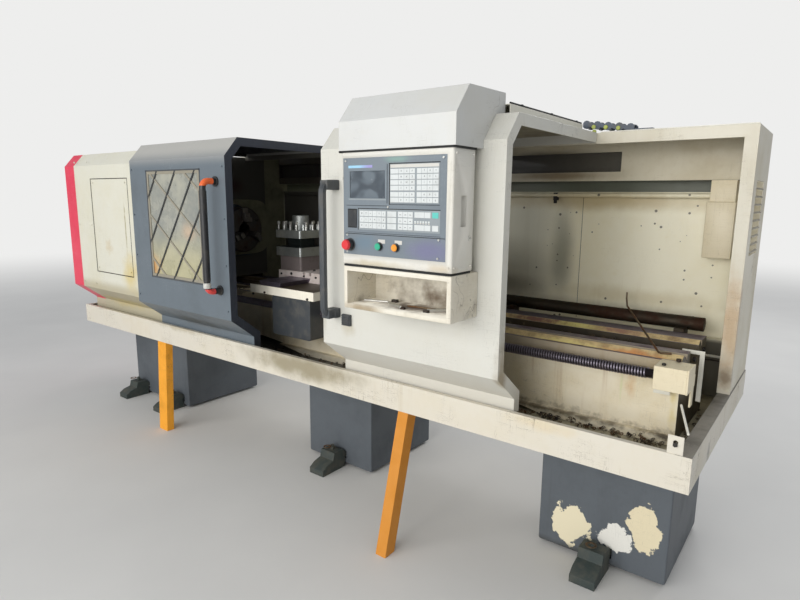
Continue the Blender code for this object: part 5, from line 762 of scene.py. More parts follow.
# %% Dress the castings
def bed_face(face):
    """Tell a bed face's finish: 1 ground, 2 trough, 3 stained front slope, else 0."""
    centre, normal = face.calc_center_median(), face.normal
    on_top = centre.z > 0.845 and normal.z > 0.2
    if 0.062 < centre.y < 0.205:
        return 2
    if centre.z > 0.8 and normal.y < -0.2 and normal.z > 0.05:
        return 3
    return int(on_top)


def saddle_face(face):
    """Tell a saddle face's finish: 1 for the ground dovetail, 2 for the oily top, else 0."""
    centre, normal = face.calc_center_median(), face.normal
    if centre.z > 0.9515:
        return 1
    return 2 if normal.z > 0.5 else 0


def turret_face(face):
    """Tell 1 for the turret's slot and 0 for its plates."""
    return int(1.119 < face.calc_center_median().z < 1.192)


dress("bed", "oily_cream_paint way_steel trough_paint stained_way", 0.0015, choose=bed_face)
dress("saddle", "chipped_cream_paint way_steel trough_paint", 0.0015, choose=saddle_face)
dress("tool_turret", "post_steel slot_steel", 0.0015, choose=turret_face)
CASTINGS = {
    "pedestal_left": ("pedestal_paint", 0.0015), "pedestal_middle": ("pedestal_paint", 0.0015),
    "pedestal_right": ("pedestal_paint", 0.0015), "headstock": ("motor_paint", 0.0),
            "main_motor": ("motor_paint", 0.0008),
    "feed_drive": ("motor_paint", 0.0015), "tool_post_base": ("post_housing", 0.001),
    "tailstock_body": ("oily_cream_paint", 0.002), "cross_slide": ("slide_enamel", 0.002),
            "apron": ("charcoal_plastic", 0.0015),
    "spindle": ("dull_turned_steel", 0.001), "chuck_body": ("dull_turned_steel", 0.001),
    "chuck_jaw_1": ("jaw_steel", 0.001), "chuck_jaw_2": ("jaw_steel", 0.001),
            "chuck_jaw_3": ("jaw_steel", 0.001),
    "motor_pulley": ("dull_turned_steel", 0.001), "tailstock_quill": ("turned_steel", 0.0008),
    "tailstock_wheel": ("turned_steel", 0.0008), "drive_belt": ("belt_rubber", 0.0006),
            "rear_tube": ("tube_steel", 0.001),
    "chip_hook": ("hook_steel", 0.0), "pan_prop_left": ("prop_paint", 0.002),
            "pan_prop_right": ("prop_paint", 0.002),
    "window_grille": ("lattice_metal", 0.0), "window_pane": ("yellowed_pane", 0.0),
            "drag_chain": ("chain_plastic", 0.0008),
    "right_handle": ("charcoal_plastic", 0.0),
}
for node in nodes:
    if node.startswith("mount_"):
        CASTINGS[node] = ("mount_paint", 0.0015)
for node, (finish, width) in CASTINGS.items():
    dress(node, finish, width)
print("dressed", len(dressed), "of", len(nodes), "nodes")

# %% [markdown]
# ## Shapes for the small parts
# Screws, keys, seams and rods come back all over the machine. Each screw is one small mesh that is stamped where
# it is needed, and blocks, rods and turned rings are added to one form, so that a panel's fittings stay one piece.

# %% Shape helpers
TO_FRONT, TO_BACK, TO_LEFT, TO_RIGHT, UP = (0, -1, 0), (0, 1, 0), (-1, 0, 0), (1, 0, 0), (0, 0, 1)


def add_box(form, low, high, index=0):
    """Add a closed block between two corners."""
    made = bmesh.ops.create_cube(form, size=1.0)["verts"]
    middle = Matrix.Translation([(a + b) / 2 for a, b in zip(low, high)])
    size = Matrix.Diagonal([b - a for a, b in zip(low, high)] + [1.0])
    bmesh.ops.transform(form, matrix=middle @ size, verts=made)
    for face in {face for vert in made for face in vert.link_faces}:
        face.material_index = index


def add_rod(form, start, end, radius, steps=12, index=0, tip=None):
    """Add a closed round bar, or a cone, between two points."""
    start, end = Vector(start), Vector(end)
    made = bmesh.ops.create_cone(form, cap_ends=True, segments=steps, radius1=radius,
                                 radius2=radius if tip is None else tip, depth=(end - start).length)["verts"]
    turn = Vector(UP).rotation_difference(end - start).to_matrix().to_4x4()
    bmesh.ops.transform(form, matrix=Matrix.Translation((start + end) / 2) @ turn, verts=made)
    for face in {face for vert in made for face in vert.link_faces}:
        face.material_index = index


def stamp(form, mesh, matrix, index=0):
    """Add a turned and moved copy of a small mesh."""
    copy = mesh.copy()
    copy.transform(matrix)
    copy.polygons.foreach_set("material_index", [index] * len(copy.polygons))
    form.from_mesh(copy)
    bpy.data.meshes.remove(copy)


def facing(place, out, size=1.0):
    """Give the matrix that stands a small mesh at a place, with its Z axis along a direction."""
    turn = Vector(UP).rotation_difference(Vector(out)).to_matrix().to_4x4()
    return Matrix.Translation(place) @ turn @ Matrix.Scale(size, 4)


def add_head(form, head, place, out, size, index=0):
    """Add a screw head of a radius that looks out of a face."""
    stamp(form, head, facing(place, out, size), index)


def screw_head(name, steps, socket):
    """Make a screw head of radius 1 with a ground rim, and a socket if it has one."""
    form = bmesh.new()
    bmesh.ops.create_cone(form, cap_ends=True, segments=steps, radius1=1.0, radius2=1.0, depth=1.0)
    bmesh.ops.translate(form, vec=(0.0, 0.0, 0.4), verts=form.verts)
    crown = max(form.faces, key=lambda face: face.calc_center_median().z)
    bmesh.ops.inset_region(form, faces=[crown], thickness=0.14, depth=0.1)
    if socket:
        bmesh.ops.inset_region(form, faces=[crown], thickness=0.32)
        bmesh.ops.inset_region(form, faces=[crown], thickness=0.03, depth=-0.6)
    return to_mesh(form, name)


def add_turned(form, profile, matrix, steps=24, index=0):
    """Turn a closed outline of (radius, height) points about its axis and stamp it."""
    piece = bmesh.new()
    corners = [piece.verts.new((radius, 0.0, height)) for radius, height in profile]
    for first, second in zip(corners, corners[1:] + corners[:1]):
        piece.edges.new((first, second))
    bmesh.ops.spin(piece, geom=piece.verts[:] + piece.edges[:], cent=(0, 0, 0), axis=(0, 0, 1), dvec=(0, 0, 0),
                   angle=tau, steps=steps, use_merge=True, use_normal_flip=False, use_duplicate=False)
    bmesh.ops.remove_doubles(piece, verts=piece.verts, dist=0.000005)
    bmesh.ops.dissolve_degenerate(piece, edges=piece.edges, dist=0.000002)
    bmesh.ops.recalc_face_normals(piece, faces=piece.faces)
    mesh = to_mesh(piece, "turned")
    stamp(form, mesh, matrix, index)
    bpy.data.meshes.remove(mesh)


def add_ring(form, place, out, inner, outer, height, index=0):
    """Add a flat collar."""
    add_turned(form, [(inner, 0.0), (outer, 0.0), (outer, height), (inner, height)], facing(place, out),
               index=index)


def add_words(form, words, height, place):
    """Add thin raised letters that face the front."""
    curve = bpy.data.curves.new("letters", "FONT")
    curve.body, curve.size, curve.extrude, curve.resolution_u = words, height, 0.0001, 1
    curve.align_x, curve.align_y = "CENTER", "CENTER"
    holder = link("letters", curve)
    mesh = bpy.data.meshes.new_from_object(holder.evaluated_get(bpy.context.evaluated_depsgraph_get()))
    stamp(form, mesh, Matrix.Translation(place) @ Matrix.Rotation(radians(90), 4, "X"))
    bpy.data.objects.remove(holder)


socket_head = screw_head("socket_head", 12, True)
hex_head = screw_head("hex_head", 6, False)
round_head = screw_head("round_head", 10, False)


def screws(name, body, places, out, radius, head=None, material="bolt_steel"):
    """Drive a row of screws of one kind as one piece."""
    form = bmesh.new()
    for place in places:
        add_head(form, head or socket_head, place, out, radius)
    settle(form, name, body, material)


# %% [markdown]
# ## The control panel
# The panel is a bent steel plate with a membrane over it. Its keys stand up by less than a millimetre, in two
# blocks of white keys with thin gaps. Real keys would be printed, but here each one is a small bevelled block, so
# that light catches its rim. The letters on them are plain codes.

# %% Dress the panel
PANEL_BODY = "right_door_body"
FRONT = -0.688


def panel_finish(face):
    """Tell 1 for the screen's glass, 2 for the key block and 0 for the plate."""
    centre = face.calc_center_median()
    if 0.794 < centre.x < 0.95 and 1.403 < centre.z < 1.494 and centre.y > FRONT + 0.003:
        return 1 if face.normal.y < -0.5 and centre.y < FRONT + 0.006 else 0
    return 2 if centre.y < FRONT - 0.0001 else 0


dress("control_panel", "panel_paint screen_glass key_bed_plastic", 0.0006, choose=panel_finish)


# %% Keys
def key_row(form, left, right, low, high, shares, depth, index=1, gap=0.0009):
    """Add one row of keys whose edges lie at shares of its width."""
    for first, last in zip(shares, shares[1:]):
        start, end = (left + (right - left) * share for share in (first, last))
        add_box(form, (start + gap / 2, depth - 0.0009, low + gap / 2), (end - gap / 2, depth, high - gap / 2),
                index)


def halves(count):
    """Give the edges of a number of equal keys as shares."""
    return [step / count for step in range(count + 1)]


keys = bmesh.new()
marks = bmesh.new()
ROWS = [(1.4815, 1.4975), (1.464, 1.48), (1.4465, 1.4625), (1.429, 1.445), (1.409, 1.425), (1.3915, 1.4075)]
WORDS = [("O G P", "7 8 9"), ("N X Z", "4 5 6"), ("U W M", "1 2 3"), ("S T K", "- 0 ."), ("I J R", "A B C"),
         ("D F H", "E L Q")]
for (low, high), words in zip(ROWS, WORDS):
    key_row(keys, 0.973, 1.071, low, high, (0.0, 0.34, 0.56, 0.78, 1.0), FRONT - 0.0015)
    key_row(keys, 1.078, 1.16, low, high, (0.0, 0.22, 0.48, 0.74, 1.0), FRONT - 0.0015)
    for word, starts in zip(words, ((1.017, 0.0216), (1.1065, 0.0213))):
        for step, letter in enumerate(word.split()):
            place = (starts[0] + step * starts[1], FRONT - 0.00245, (low + high) / 2)
            add_words(marks, letter, 0.0075, place)
add_box(keys, (0.973, FRONT - 0.002, 1.5005), (1.16, FRONT - 0.0015, 1.5105), 3)
add_box(keys, (0.835, FRONT - 0.0006, 1.299), (1.1665, FRONT, 1.368), 2)
GROUPS = [(0.0, 0.354, halves(6)), (0.371, 0.491, (0, 1)), (0.509, 0.697, halves(3)),
          (0.714, 0.909, (0, 0.62, 1))]
for row, (low, high) in enumerate(((1.3445, 1.363), (1.3245, 1.343), (1.3045, 1.323))):
    for first, last, shares in GROUPS:
        left, right = 0.841 + 0.32 * first, 0.841 + 0.32 * last
        if row == 1 and first > 0.7:
            for step in range(6):
                start = left + step * 0.0104
                add_box(keys, (start, FRONT - 0.0012, low + 0.005),
                        (start + 0.007, FRONT - 0.0006, high - 0.008), 1)
                add_box(keys, (start, FRONT - 0.0012, low + 0.001),
                        (start + 0.007, FRONT - 0.0006, low + 0.004), 3)
            continue
        key_row(keys, left, right, low, high, shares, FRONT - 0.0006)
    cap = {0: 4, 2: 1}.get(row)
    if cap:
        key_row(keys, 1.1375, 1.161, low, high, (0, 1), FRONT - 0.0006, cap)
for step in range(6):
    for row in range(3):
        add_words(marks, "XZ+-TS"[step] if row != 1 else "123456"[step], 0.0085,
                  (0.8505 + step * 0.0189, FRONT - 0.00155, 1.3538 - row * 0.02))
for step in range(3):
    for row in range(3):
        add_box(marks, (1.0105 + step * 0.0201, FRONT - 0.0016, 1.352 - row * 0.02),
                (1.017 + step * 0.0201, FRONT - 0.0014, 1.3535 - row * 0.02))
settle(keys, "panel_keys", PANEL_BODY,
       "panel_paint key_plastic key_bed_plastic white_plastic teal_key_plastic",
       width=0.0003, segments=1)
settle(marks, "key_letters", PANEL_BODY, "charcoal_plastic", flip=False)

# %% Seams, painted shadow lines, port, strip and screws
trim = bmesh.new()
# The dark lines along the top and the left of each key block are painted shadow; the rest are seams.
SEAM_AND_SHADOW_LINES = [
    ((0.966, 1.513), (1.164, 1.5155)), ((0.966, 1.385), (0.9695, 1.5155)), ((0.9575, 1.388), (0.9595, 1.513)),
    ((0.966, 1.384), (1.164, 1.3855)), ((0.833, 1.3685), (1.167, 1.371)), ((0.8315, 1.2985), (0.835, 1.37)),
    ((0.775, 1.283), (1.186, 1.285)), ((0.785, 1.2885), (1.17, 1.2895)), ((0.78, 1.379), (0.96, 1.3805)),
]
for (left, low), (right, high) in SEAM_AND_SHADOW_LINES:
    add_box(trim, (left, FRONT - 0.0007, low), (right, FRONT, high), 0)
# The pale strip along the lower sill of the screen's recess is a painted highlight.
add_box(trim, (0.79, FRONT - 0.0006, 1.3975), (0.954, FRONT, 1.4025), 1)
add_box(trim, (0.79, FRONT - 0.0008, 1.503), (0.896, FRONT, 1.5115), 2)
add_box(trim, (0.786, FRONT - 0.001, 1.304), (0.827, FRONT, 1.368), 0)
for step in range(7):
    start = 0.7885 + step * 0.0054
    add_box(trim, (start, FRONT - 0.002, 1.3075), (start + 0.0026, FRONT - 0.0008, 1.3645), 3)
for x in (0.927, 0.997):
    add_box(trim, (x - 0.006, FRONT - 0.0008, 1.2565), (x + 0.024, FRONT, 1.2695), 4)
    add_ring(trim, (x, FRONT, 1.246), TO_FRONT, 0.0078, 0.015, 0.0009, 3)
add_ring(trim, (0.797, FRONT, 1.246), TO_FRONT, 0.0078, 0.0225, 0.0009, 3)
settle(trim, "panel_trim", PANEL_BODY,
       "seam_rubber key_bed_plastic screen_label charcoal_plastic white_plastic",
       width=0.0002, segments=1)
PANEL_SCREWS = [(0.783, 1.279), (1.163, 1.279), (0.783, 1.221), (1.16, 1.222), (1.176, 1.527), (0.963, 1.3765),
                (0.778, 1.527)]
screws("panel_screws", PANEL_BODY, [(x, FRONT, z) for x, z in PANEL_SCREWS], TO_FRONT, 0.0034,
       material="bright_steel")


# %% [markdown]
# ## Push buttons
# A push button is a coloured cap on a dark neck. The neck slides in a collar, so only the cap's front is coloured,
# and the solid is sliced where the colour ends.

# %% Dress the buttons
def cap_finish(line):
    """Give a chooser that paints a button's front and leaves its neck dark."""
    return lambda face: int(face.calc_center_median().y > line)


for node, finish, line in (("stop_button", "red_plastic", -0.7105), ("start_button", "green_plastic", -0.6995),
                           ("hold_button", "amber_plastic", -0.6995)):
    dress(node, finish + " black_plastic", 0.0006, choose=cap_finish(line), slices=[((0, line, 0), (0, 1, 0))])
print("panel done, dressed", len(dressed))

# %% [markdown]
# ## Console, tray and latch
# A dark strip under the hood stands for the shadow gap between the hood and the console, a painted shadow. A lock
# and a finger pull sit on the side. The tray holds the odds and ends that a turner puts down: drill bits, keys and
# tool tips.

# %% Fittings on the console
fittings = bmesh.new()
# The strips round the hood's lower edge are painted shadow for the gap under its lip; the lowest strip is a dark
# line between the console and the tray.
for low, high in (((0.7475, -0.6905, 1.5545), (1.2175, -0.6884, 1.5608)),
                  ((1.2124, -0.6905, 1.5545), (1.2165, -0.565, 1.5608)),
                  ((0.748, -0.6905, 1.5545), (0.7586, -0.565, 1.5608)),
                  ((0.766, -0.6875, 1.1705), (1.208, -0.57, 1.1765))):
    add_box(fittings, low, high)
add_ring(fittings, (1.2121, -0.588, 1.283), TO_RIGHT, 0.0035, 0.0095, 0.0022, 1)
add_box(fittings, (1.2118, -0.5892, 1.279), (1.2124, -0.5868, 1.287))
settle(fittings, "console_shadow_strips_and_lock", PANEL_BODY, "seam_rubber bright_steel", width=0.0004)
screws("console_screws", PANEL_BODY,
       [(1.2119, y, z) for y in (-0.675, -0.578) for z in (1.195, 1.54)], TO_RIGHT, 0.0038, round_head,
       "console_paint")
screws("console_front_screws", PANEL_BODY, [(0.7625, -0.6879, 1.47), (1.2, -0.6879, 1.195)],
       TO_FRONT, 0.0034, round_head, "console_paint")

latch = bmesh.new()
add_box(latch, (0.608, -0.537, 0.906), (0.651, -0.5252, 0.951))
for step in range(6):
    low = 0.9085 + step * 0.007
    add_box(latch, (0.61, -0.542, low), (0.649, -0.5365, low + 0.0038))
settle(latch, "door_latch", PANEL_BODY, "charcoal_plastic", width=0.001)

# %% Odds and ends in the tray
odds = bmesh.new()
FLOOR = 1.0362
for x, y, turn, length, radius, index in ((0.84, -0.6, 0.3, 0.09, 0.004, 0),
                                          (0.95, -0.63, -0.4, 0.07, 0.0055, 0),
                                          (1.04, -0.6, 0.1, 0.11, 0.0035, 1),
                                          (1.12, -0.61, 1.2, 0.06, 0.006, 0)):
    step = Vector((length / 2, length / 2 * sin(turn), 0.0))
    middle = Vector((x, y, FLOOR + radius))
    add_rod(odds, middle - step, middle + step, radius, 10, index)
    add_rod(odds, middle + step * 0.98, middle + step * 1.12, radius, 10, index, tip=0.0004)
for x, y, size in ((0.885, -0.57, 0.014), (0.99, -0.655, 0.01), (1.08, -0.65, 0.012), (1.15, -0.565, 0.016)):
    add_box(odds, (x, y, FLOOR), (x + size * 1.6, y + size, FLOOR + size * 0.7), 2)
settle(odds, "tray_tool_bits", PANEL_BODY, "bright_steel hook_steel bolt_steel", width=0.0006)


# %% [markdown]
# ## Door handles
# Each handle is a tube in two elbows. The left one has an orange elbow at its top, a red one below with a grey
# wrap, and a rubber grip between. The grip is a turned sleeve with fine rings.

# %% Dress the handles
def left_handle_face(face):
    """Tell the left handle's colours: orange above, red below, black between."""
    centre = face.calc_center_median()
    if centre.z > 1.452 and centre.y < -0.545:
        return 1
    return 2 if centre.z < 0.972 and centre.y < -0.56 else 0


dress("left_handle", "black_plastic orange_plastic coral_plastic", 0.0, choose=left_handle_face,
      slices=[((0, 0, 1.452), (0, 0, 1)), ((0, 0, 0.972), (0, 0, 1)), ((0, -0.545, 0), (0, 1, 0)),
              ((0, -0.56, 0), (0, 1, 0))])


BAR = (-0.199, -0.597)


def add_grip(form, low, high):
    """Add a ribbed sleeve on a handle's bar."""
    outline, count = [(0.015, 0.0)], int((high - low) / 0.006)
    for step in range(count + 1):
        outline.append((0.0166 if step % 2 else 0.0172, (high - low) * step / count))
    outline.append((0.015, high - low))
    add_turned(form, outline, facing((*BAR, low), UP), 20)


grip = bmesh.new()
add_grip(grip, 1.01, 1.43)
add_turned(grip, [(0.0148, 0.0), (0.0178, 0.002), (0.0182, 0.012), (0.0176, 0.024), (0.0148, 0.026)],
           facing((*BAR, 0.976), UP), 20, 1)
for z in (0.9437 + 0.015, 1.4873 - 0.015):
    add_ring(grip, (BAR[0], -0.5252, z), TO_FRONT, 0.0152, 0.024, 0.006, 0)
settle(grip, "left_handle_grip", "left_door_body", "black_plastic white_plastic")
brace = bmesh.new()
for z in (0.9377 + 0.015, 1.4673 - 0.015):
    add_box(brace, (0.5495, -0.556, z - 0.019), (0.5925, -0.5252, z + 0.019))
    add_box(brace, (0.551, -0.59, z - 0.017), (0.591, -0.554, z + 0.017))
settle(brace, "right_handle_brackets", PANEL_BODY, "charcoal_plastic", width=0.003,
       segments=3)
print("handles dressed", len(dressed))

# %% [markdown]
# ## Doors, covers and the roof
# Sheet doors carry rows of small screws and dark rubber at their seams, and a cable runs along the duct on the
# roof. The end of the roof has a bright folded lip. The drag chain has yellow pins, which are its links' hinges.

# %% Window frame, seams and screws
lining = bmesh.new()
for low, high in (((-0.813, -0.5262, 0.969), (-0.322, -0.5252, 0.9765)),
                  ((-0.813, -0.5262, 1.5285), (-0.322, -0.5252, 1.5345)),
                  ((-0.813, -0.5262, 0.969), (-0.8055, -0.5252, 1.5345)),
                  ((-0.3295, -0.5262, 0.969), (-0.322, -0.5252, 1.5345))):
    add_box(lining, low, high)
settle(lining, "window_rubber", "left_door_body", "charcoal_plastic", width=0.0003, segments=1)
screws("left_door_screws", "left_door_body",
       [(x, -0.5252, z) for x in (-0.955, -0.146) for z in (0.86, 1.08, 1.3, 1.54)], TO_FRONT, 0.0045,
       round_head, "slate_door_paint")
seams = bmesh.new()
for low, high in (((-1.4965, -0.5016, 0.938), (-1.4915, -0.5011, 1.501)),
                  ((-1.4965, -0.5016, 1.497), (-1.058, -0.5011, 1.501)),
                  ((-1.4965, -0.5016, 0.938), (-1.058, -0.5011, 0.9422)),
                  ((-1.0622, -0.5016, 0.938), (-1.058, -0.5011, 1.501))):
    add_box(seams, low, high)
add_box(seams, (1.1392, 0.5888, 0.83), (1.1408, 0.5898, 1.42))
add_box(seams, (1.0, 0.5585, 1.399), (1.02, 0.58, 1.436))
add_box(seams, (1.003, 0.557, 1.385), (1.017, 0.566, 1.406))
settle(seams, "panel_seams_and_clip", "base", "seam_rubber")
screws("cover_screws", "base", [(x, -0.501, z) for x in (-1.68, -1.52)
                                               for z in (0.86, 1.22, 1.6)] +
       [(x, -0.4996, z) for x in (-1.47, -1.085) for z in (0.965, 1.475)], TO_FRONT, 0.0045, round_head,
       "cover_paint")
screws("end_cover_screws", "base", [(-1.8262, y, z) for y in (-0.36, 0.0, 0.38)
                                                 for z in (0.86, 1.22, 1.6)],
       (-1, 0, 0), 0.0055, round_head, "red_cover_paint")

# %% Bulkhead and duct on the wall
bulkhead = bmesh.new()
add_box(bulkhead, (-1.038, 0.4205, 0.79), (-1.001, 0.69, 1.66), 0)
add_box(bulkhead, (1.696, 0.505, 1.4004), (1.788, 0.564, 1.487), 1)
settle(bulkhead, "bulkhead_and_duct", "base", "nose_plate_paint junction_box_paint",
       width=0.0008)
brush = bmesh.new()
add_box(brush, (-0.9735, -0.35, 1.6525), (-0.9705, 0.255, 1.6715))
settle(brush, "left_door_brush", "left_door_body", "seam_rubber", width=0.0004, segments=1)

# %% Roof lip, duct and drag chain
roof = bmesh.new()
add_box(roof, (1.31, 0.266, 1.6752), (1.869, 0.276, 1.679), 0)
# The dark strip under the lip is a painted shadow line.
add_box(roof, (1.31, 0.2664, 1.669), (1.869, 0.267, 1.6752), 1)
settle(roof, "roof_lip", "base", "cream_paint seam_rubber", width=0.0008)
duct = bmesh.new()
add_rod(duct, (1.231, -0.385, 1.7165), (1.231, 0.255, 1.7165), 0.0034)
for y in (-0.3, -0.05, 0.2):
    add_box(duct, (1.227, y - 0.006, 1.713), (1.2352, y + 0.006, 1.7208))
add_head(duct, hex_head, (1.205, 0.05, 1.713), UP, 0.0075)
settle(duct, "duct_cable_and_bolt", PANEL_BODY, "seam_rubber", width=0.0006)
pins = bmesh.new()
for x, z in ((1.269, 1.703), (1.319, 1.699), (1.37, 1.693), (1.273, 1.684)):
    add_turned(pins, [(0.0, 0.0), (0.0085, 0.0), (0.0085, 0.004), (0.006, 0.0062), (0.0, 0.0062)],
               facing((x, 0.3004, z), TO_FRONT), 16)
settle(pins, "chain_pins", "base", "pin_plastic")
slats = bmesh.new()
for step in range(9):
    low = 1.208 + step * 0.03
    add_box(slats, (1.8705, 0.356, low), (1.8745, 0.569, low + 0.004))
    add_box(slats, (1.8665, 0.356, low + 0.003), (1.871, 0.569, low + 0.007))
settle(slats, "vent_slats", "base", "grimy_inner_paint", width=0.0006)


# %% [markdown]
# ## The working space
# The chuck sits in a round opening of the headstock's nose plate. The plate is a rounded square, drawn as a curve
# between a circle and a square, and bridged to the round opening. Three screws hold the chuck.

# %% Nose plate and chuck screws
PLATE_X = -0.9848


def add_nose_plate(form):
    """Bridge a rounded square to a round opening and give the sheet a thickness."""
    steps, half = 64, (0.275, 0.178)
    inner = bmesh.ops.create_circle(form, segments=steps, radius=0.15)["verts"]
    outer = bmesh.ops.create_circle(form, segments=steps, radius=1.0)["verts"]
    for vert in outer:
        x, y, _ = vert.co
        vert.co = tuple(reach * abs(part) ** 0.36 * (1 if part > 0 else -1) for reach,
                        part in zip(half, (x, y))) + (0.0,)
    bmesh.ops.bridge_loops(form, edges=form.edges[:])
    bmesh.ops.solidify(form, geom=form.faces[:], thickness=0.008)
    turn = Matrix(((0, 0, 1, 0), (1, 0, 0, 0), (0, 1, 0, 0), (0, 0, 0, 1)))
    bmesh.ops.transform(form, matrix=Matrix.Translation((PLATE_X, 0.14, 1.205)) @ turn, verts=form.verts)


plate = bmesh.new()
add_nose_plate(plate)
low_x = min(vert.co.x for vert in plate.verts)
bmesh.ops.translate(plate, vec=(PLATE_X - low_x, 0, 0), verts=plate.verts)
settle(plate, "nose_plate", "base", "nose_plate_paint", width=0.001)
FACE_X, SCREW_CIRCLE = -0.8686, 0.112
chuck_places = [(FACE_X, CHUCK_AXIS[1] + SCREW_CIRCLE * cos(radians(turn)),
                 CHUCK_AXIS[2] + SCREW_CIRCLE * sin(radians(turn))) for turn in (30, 150, 270)]
screws("chuck_screws", "spindle_body", chuck_places, TO_RIGHT, 0.0085)

# %% [markdown]
# ## The tool post
# The turret clamps its tools between two plates with square-headed set screws. Those stand up along its edges and
# shine where the spanner has worn them.

# %% Set screws
post = bmesh.new()
for x, y in ((-0.325, -0.045), (-0.278, -0.045), (-0.231, -0.045), (-0.184, -0.045), (-0.155, 0.0),
             (-0.155, 0.047),
             (-0.155, 0.094), (-0.325, 0.01), (-0.325, 0.06), (-0.278, 0.125), (-0.231, 0.125),
             (-0.184, 0.125)):
    add_rod(post, (x, y, 1.223), (x, y, 1.256), 0.0055, 8)
    add_box(post, (x - 0.0062, y - 0.0062, 1.256), (x + 0.0062, y + 0.0062, 1.272))
settle(post, "turret_set_screws", "turret", "bright_steel", width=0.0008)
print("working space done")

# %% Saddle wipers, screws and oil holes
wiper = bmesh.new()
for x in (-0.3165, 0.1605):
    for y in (-0.115, 0.265):
        out = 1 if x > 0 else -1
        near, far = sorted((x, x + out * 0.006))
        add_box(wiper, (near, y - 0.045, 0.886), (far, y + 0.045, 0.918), 0)
        for side in (-0.03, 0.03):
            add_head(wiper, round_head, (x + out * 0.006, y + side, 0.905), (out, 0, 0), 0.004, 1)
for x, z in ((-0.197, 0.915), (0.12, 0.915), (-0.29, 0.9)):
    add_head(wiper, socket_head, (x, -0.2602, z), TO_FRONT, 0.006, 1)
settle(wiper, "saddle_wipers", "carriage", "seam_rubber bolt_steel", width=0.0006)
slide = bmesh.new()
add_ring(slide, (-0.2205, -0.0552, 0.991), TO_FRONT, 0.0045, 0.0085, 0.0012, 1)
add_rod(slide, (-0.2205, -0.0554, 0.991), (-0.2205, -0.054, 0.991), 0.005, 16)
for x in (-0.3, -0.12, -0.03):
    add_head(slide, socket_head, (x, -0.0552, 0.985), TO_FRONT, 0.0055, 0)
for x, y in ((-0.12, 0.2), (-0.03, 0.2), (-0.12, 0.02), (-0.03, 0.02)):
    add_head(slide, socket_head, (x, y, 1.0063), UP, 0.007, 0)
settle(slide, "cross_slide_screws", "cross_slide_body", "seam_rubber bolt_steel")

# %% [markdown]
# ## The feed screw
# The ball screw has a round thread with a lead of ten millimetres. Its blank is a plain bar, so the bar is thinned
# to the root of the thread and a ridge is wound round it: one small outline is turned and pushed along at once.

# %% Wind the thread
AXIS_Y, AXIS_Z, ROOT_SHARE, LEAD, TURN_STEPS = -0.16, 0.828, 0.86, 0.01, 14
THREAD_X = (-0.96, 1.684)


def thin_to_root(form):
    """Thin the bar between the ends of the thread."""
    for vert in form.verts:
        if THREAD_X[0] - 0.0011 < vert.co.x < THREAD_X[1] + 0.0111:
            vert.co.y = AXIS_Y + (vert.co.y - AXIS_Y) * ROOT_SHARE
            vert.co.z = AXIS_Z + (vert.co.z - AXIS_Z) * ROOT_SHARE


ENDS = [THREAD_X[0] - 0.002, THREAD_X[0] - 0.001, THREAD_X[1] + 0.011, THREAD_X[1] + 0.012]
dress("ball_screw", "screw_steel", 0.0, slices=[((x, 0, 0), (1, 0, 0)) for x in ENDS], shape=thin_to_root)
thread = bmesh.new()
outline = [(0.0, 0.0158), (0.0012, 0.0189), (0.0052, 0.0189), (0.0064, 0.0158)]
corners = [thread.verts.new((THREAD_X[0] + along, AXIS_Y, AXIS_Z + radius)) for along, radius in outline]
thread.faces.new(corners)
turns = int((THREAD_X[1] - THREAD_X[0]) / LEAD) - 1
bmesh.ops.spin(thread, geom=thread.verts[:] + thread.edges[:] + thread.faces[:], cent=(0, AXIS_Y, AXIS_Z),
               axis=(1, 0, 0),
               dvec=(LEAD / TURN_STEPS, 0, 0), angle=tau * turns, steps=turns * TURN_STEPS, use_merge=False,
               use_normal_flip=False, use_duplicate=False)
settle(thread, "screw_thread", "feed_screw", "thread_steel", smooth=50.0)
print("thread turns", turns)

# %% [markdown]
# ## The bed's right end
# A bearing block carries the screw. A folded guard plate stands behind it, a small bracket with two holes is
# screwed under it, and a thin rod leans to the corner bracket of the pan.

# %% Fittings at the bed's end
end = bmesh.new()
add_box(end, (1.724, 0.1, 0.854), (1.8, 0.103, 0.868), 0)
add_box(end, (1.784, 0.1, 0.678), (1.8, 0.103, 0.855), 0)
add_box(end, (1.685, -0.1105, 0.748), (1.738, -0.1052, 0.788), 0)
for x in (1.698, 1.722):
    add_head(end, socket_head, (x, -0.1105, 0.77), TO_FRONT, 0.0058, 2)
add_rod(end, (1.802, -0.25, 0.769), (1.856, -0.405, 0.738), 0.0038, 10, 0)
add_rod(end, (1.62, 0.545, 0.748), (1.82, 0.545, 0.748), 0.006, 12, 0)
add_rod(end, (1.62, 0.545, 0.73), (1.82, 0.545, 0.73), 0.003, 12, 2)
add_head(end, socket_head, (1.755, -0.105, 0.8712), UP, 0.0085, 2)
add_head(end, socket_head, (1.725, -0.175, 0.8682), UP, 0.007, 2)
add_head(end, hex_head, (1.828, -0.4222, 0.705), TO_FRONT, 0.007, 2)
for y in (0.02, 0.12, 0.3):
    add_head(end, socket_head, (1.7602, y, 0.83), TO_RIGHT, 0.009, 2)
settle(end, "bed_end_fittings", "base", "cream_paint bright_steel bolt_steel", width=0.0005)

# %% [markdown]
# ## Swarf
# Chips lie where the bed meets the pan. Long ones curl like springs and short ones are flat flakes. A curl is one
# thin strip, turned and pushed along at once, and a few hundred copies in all directions make a drift.

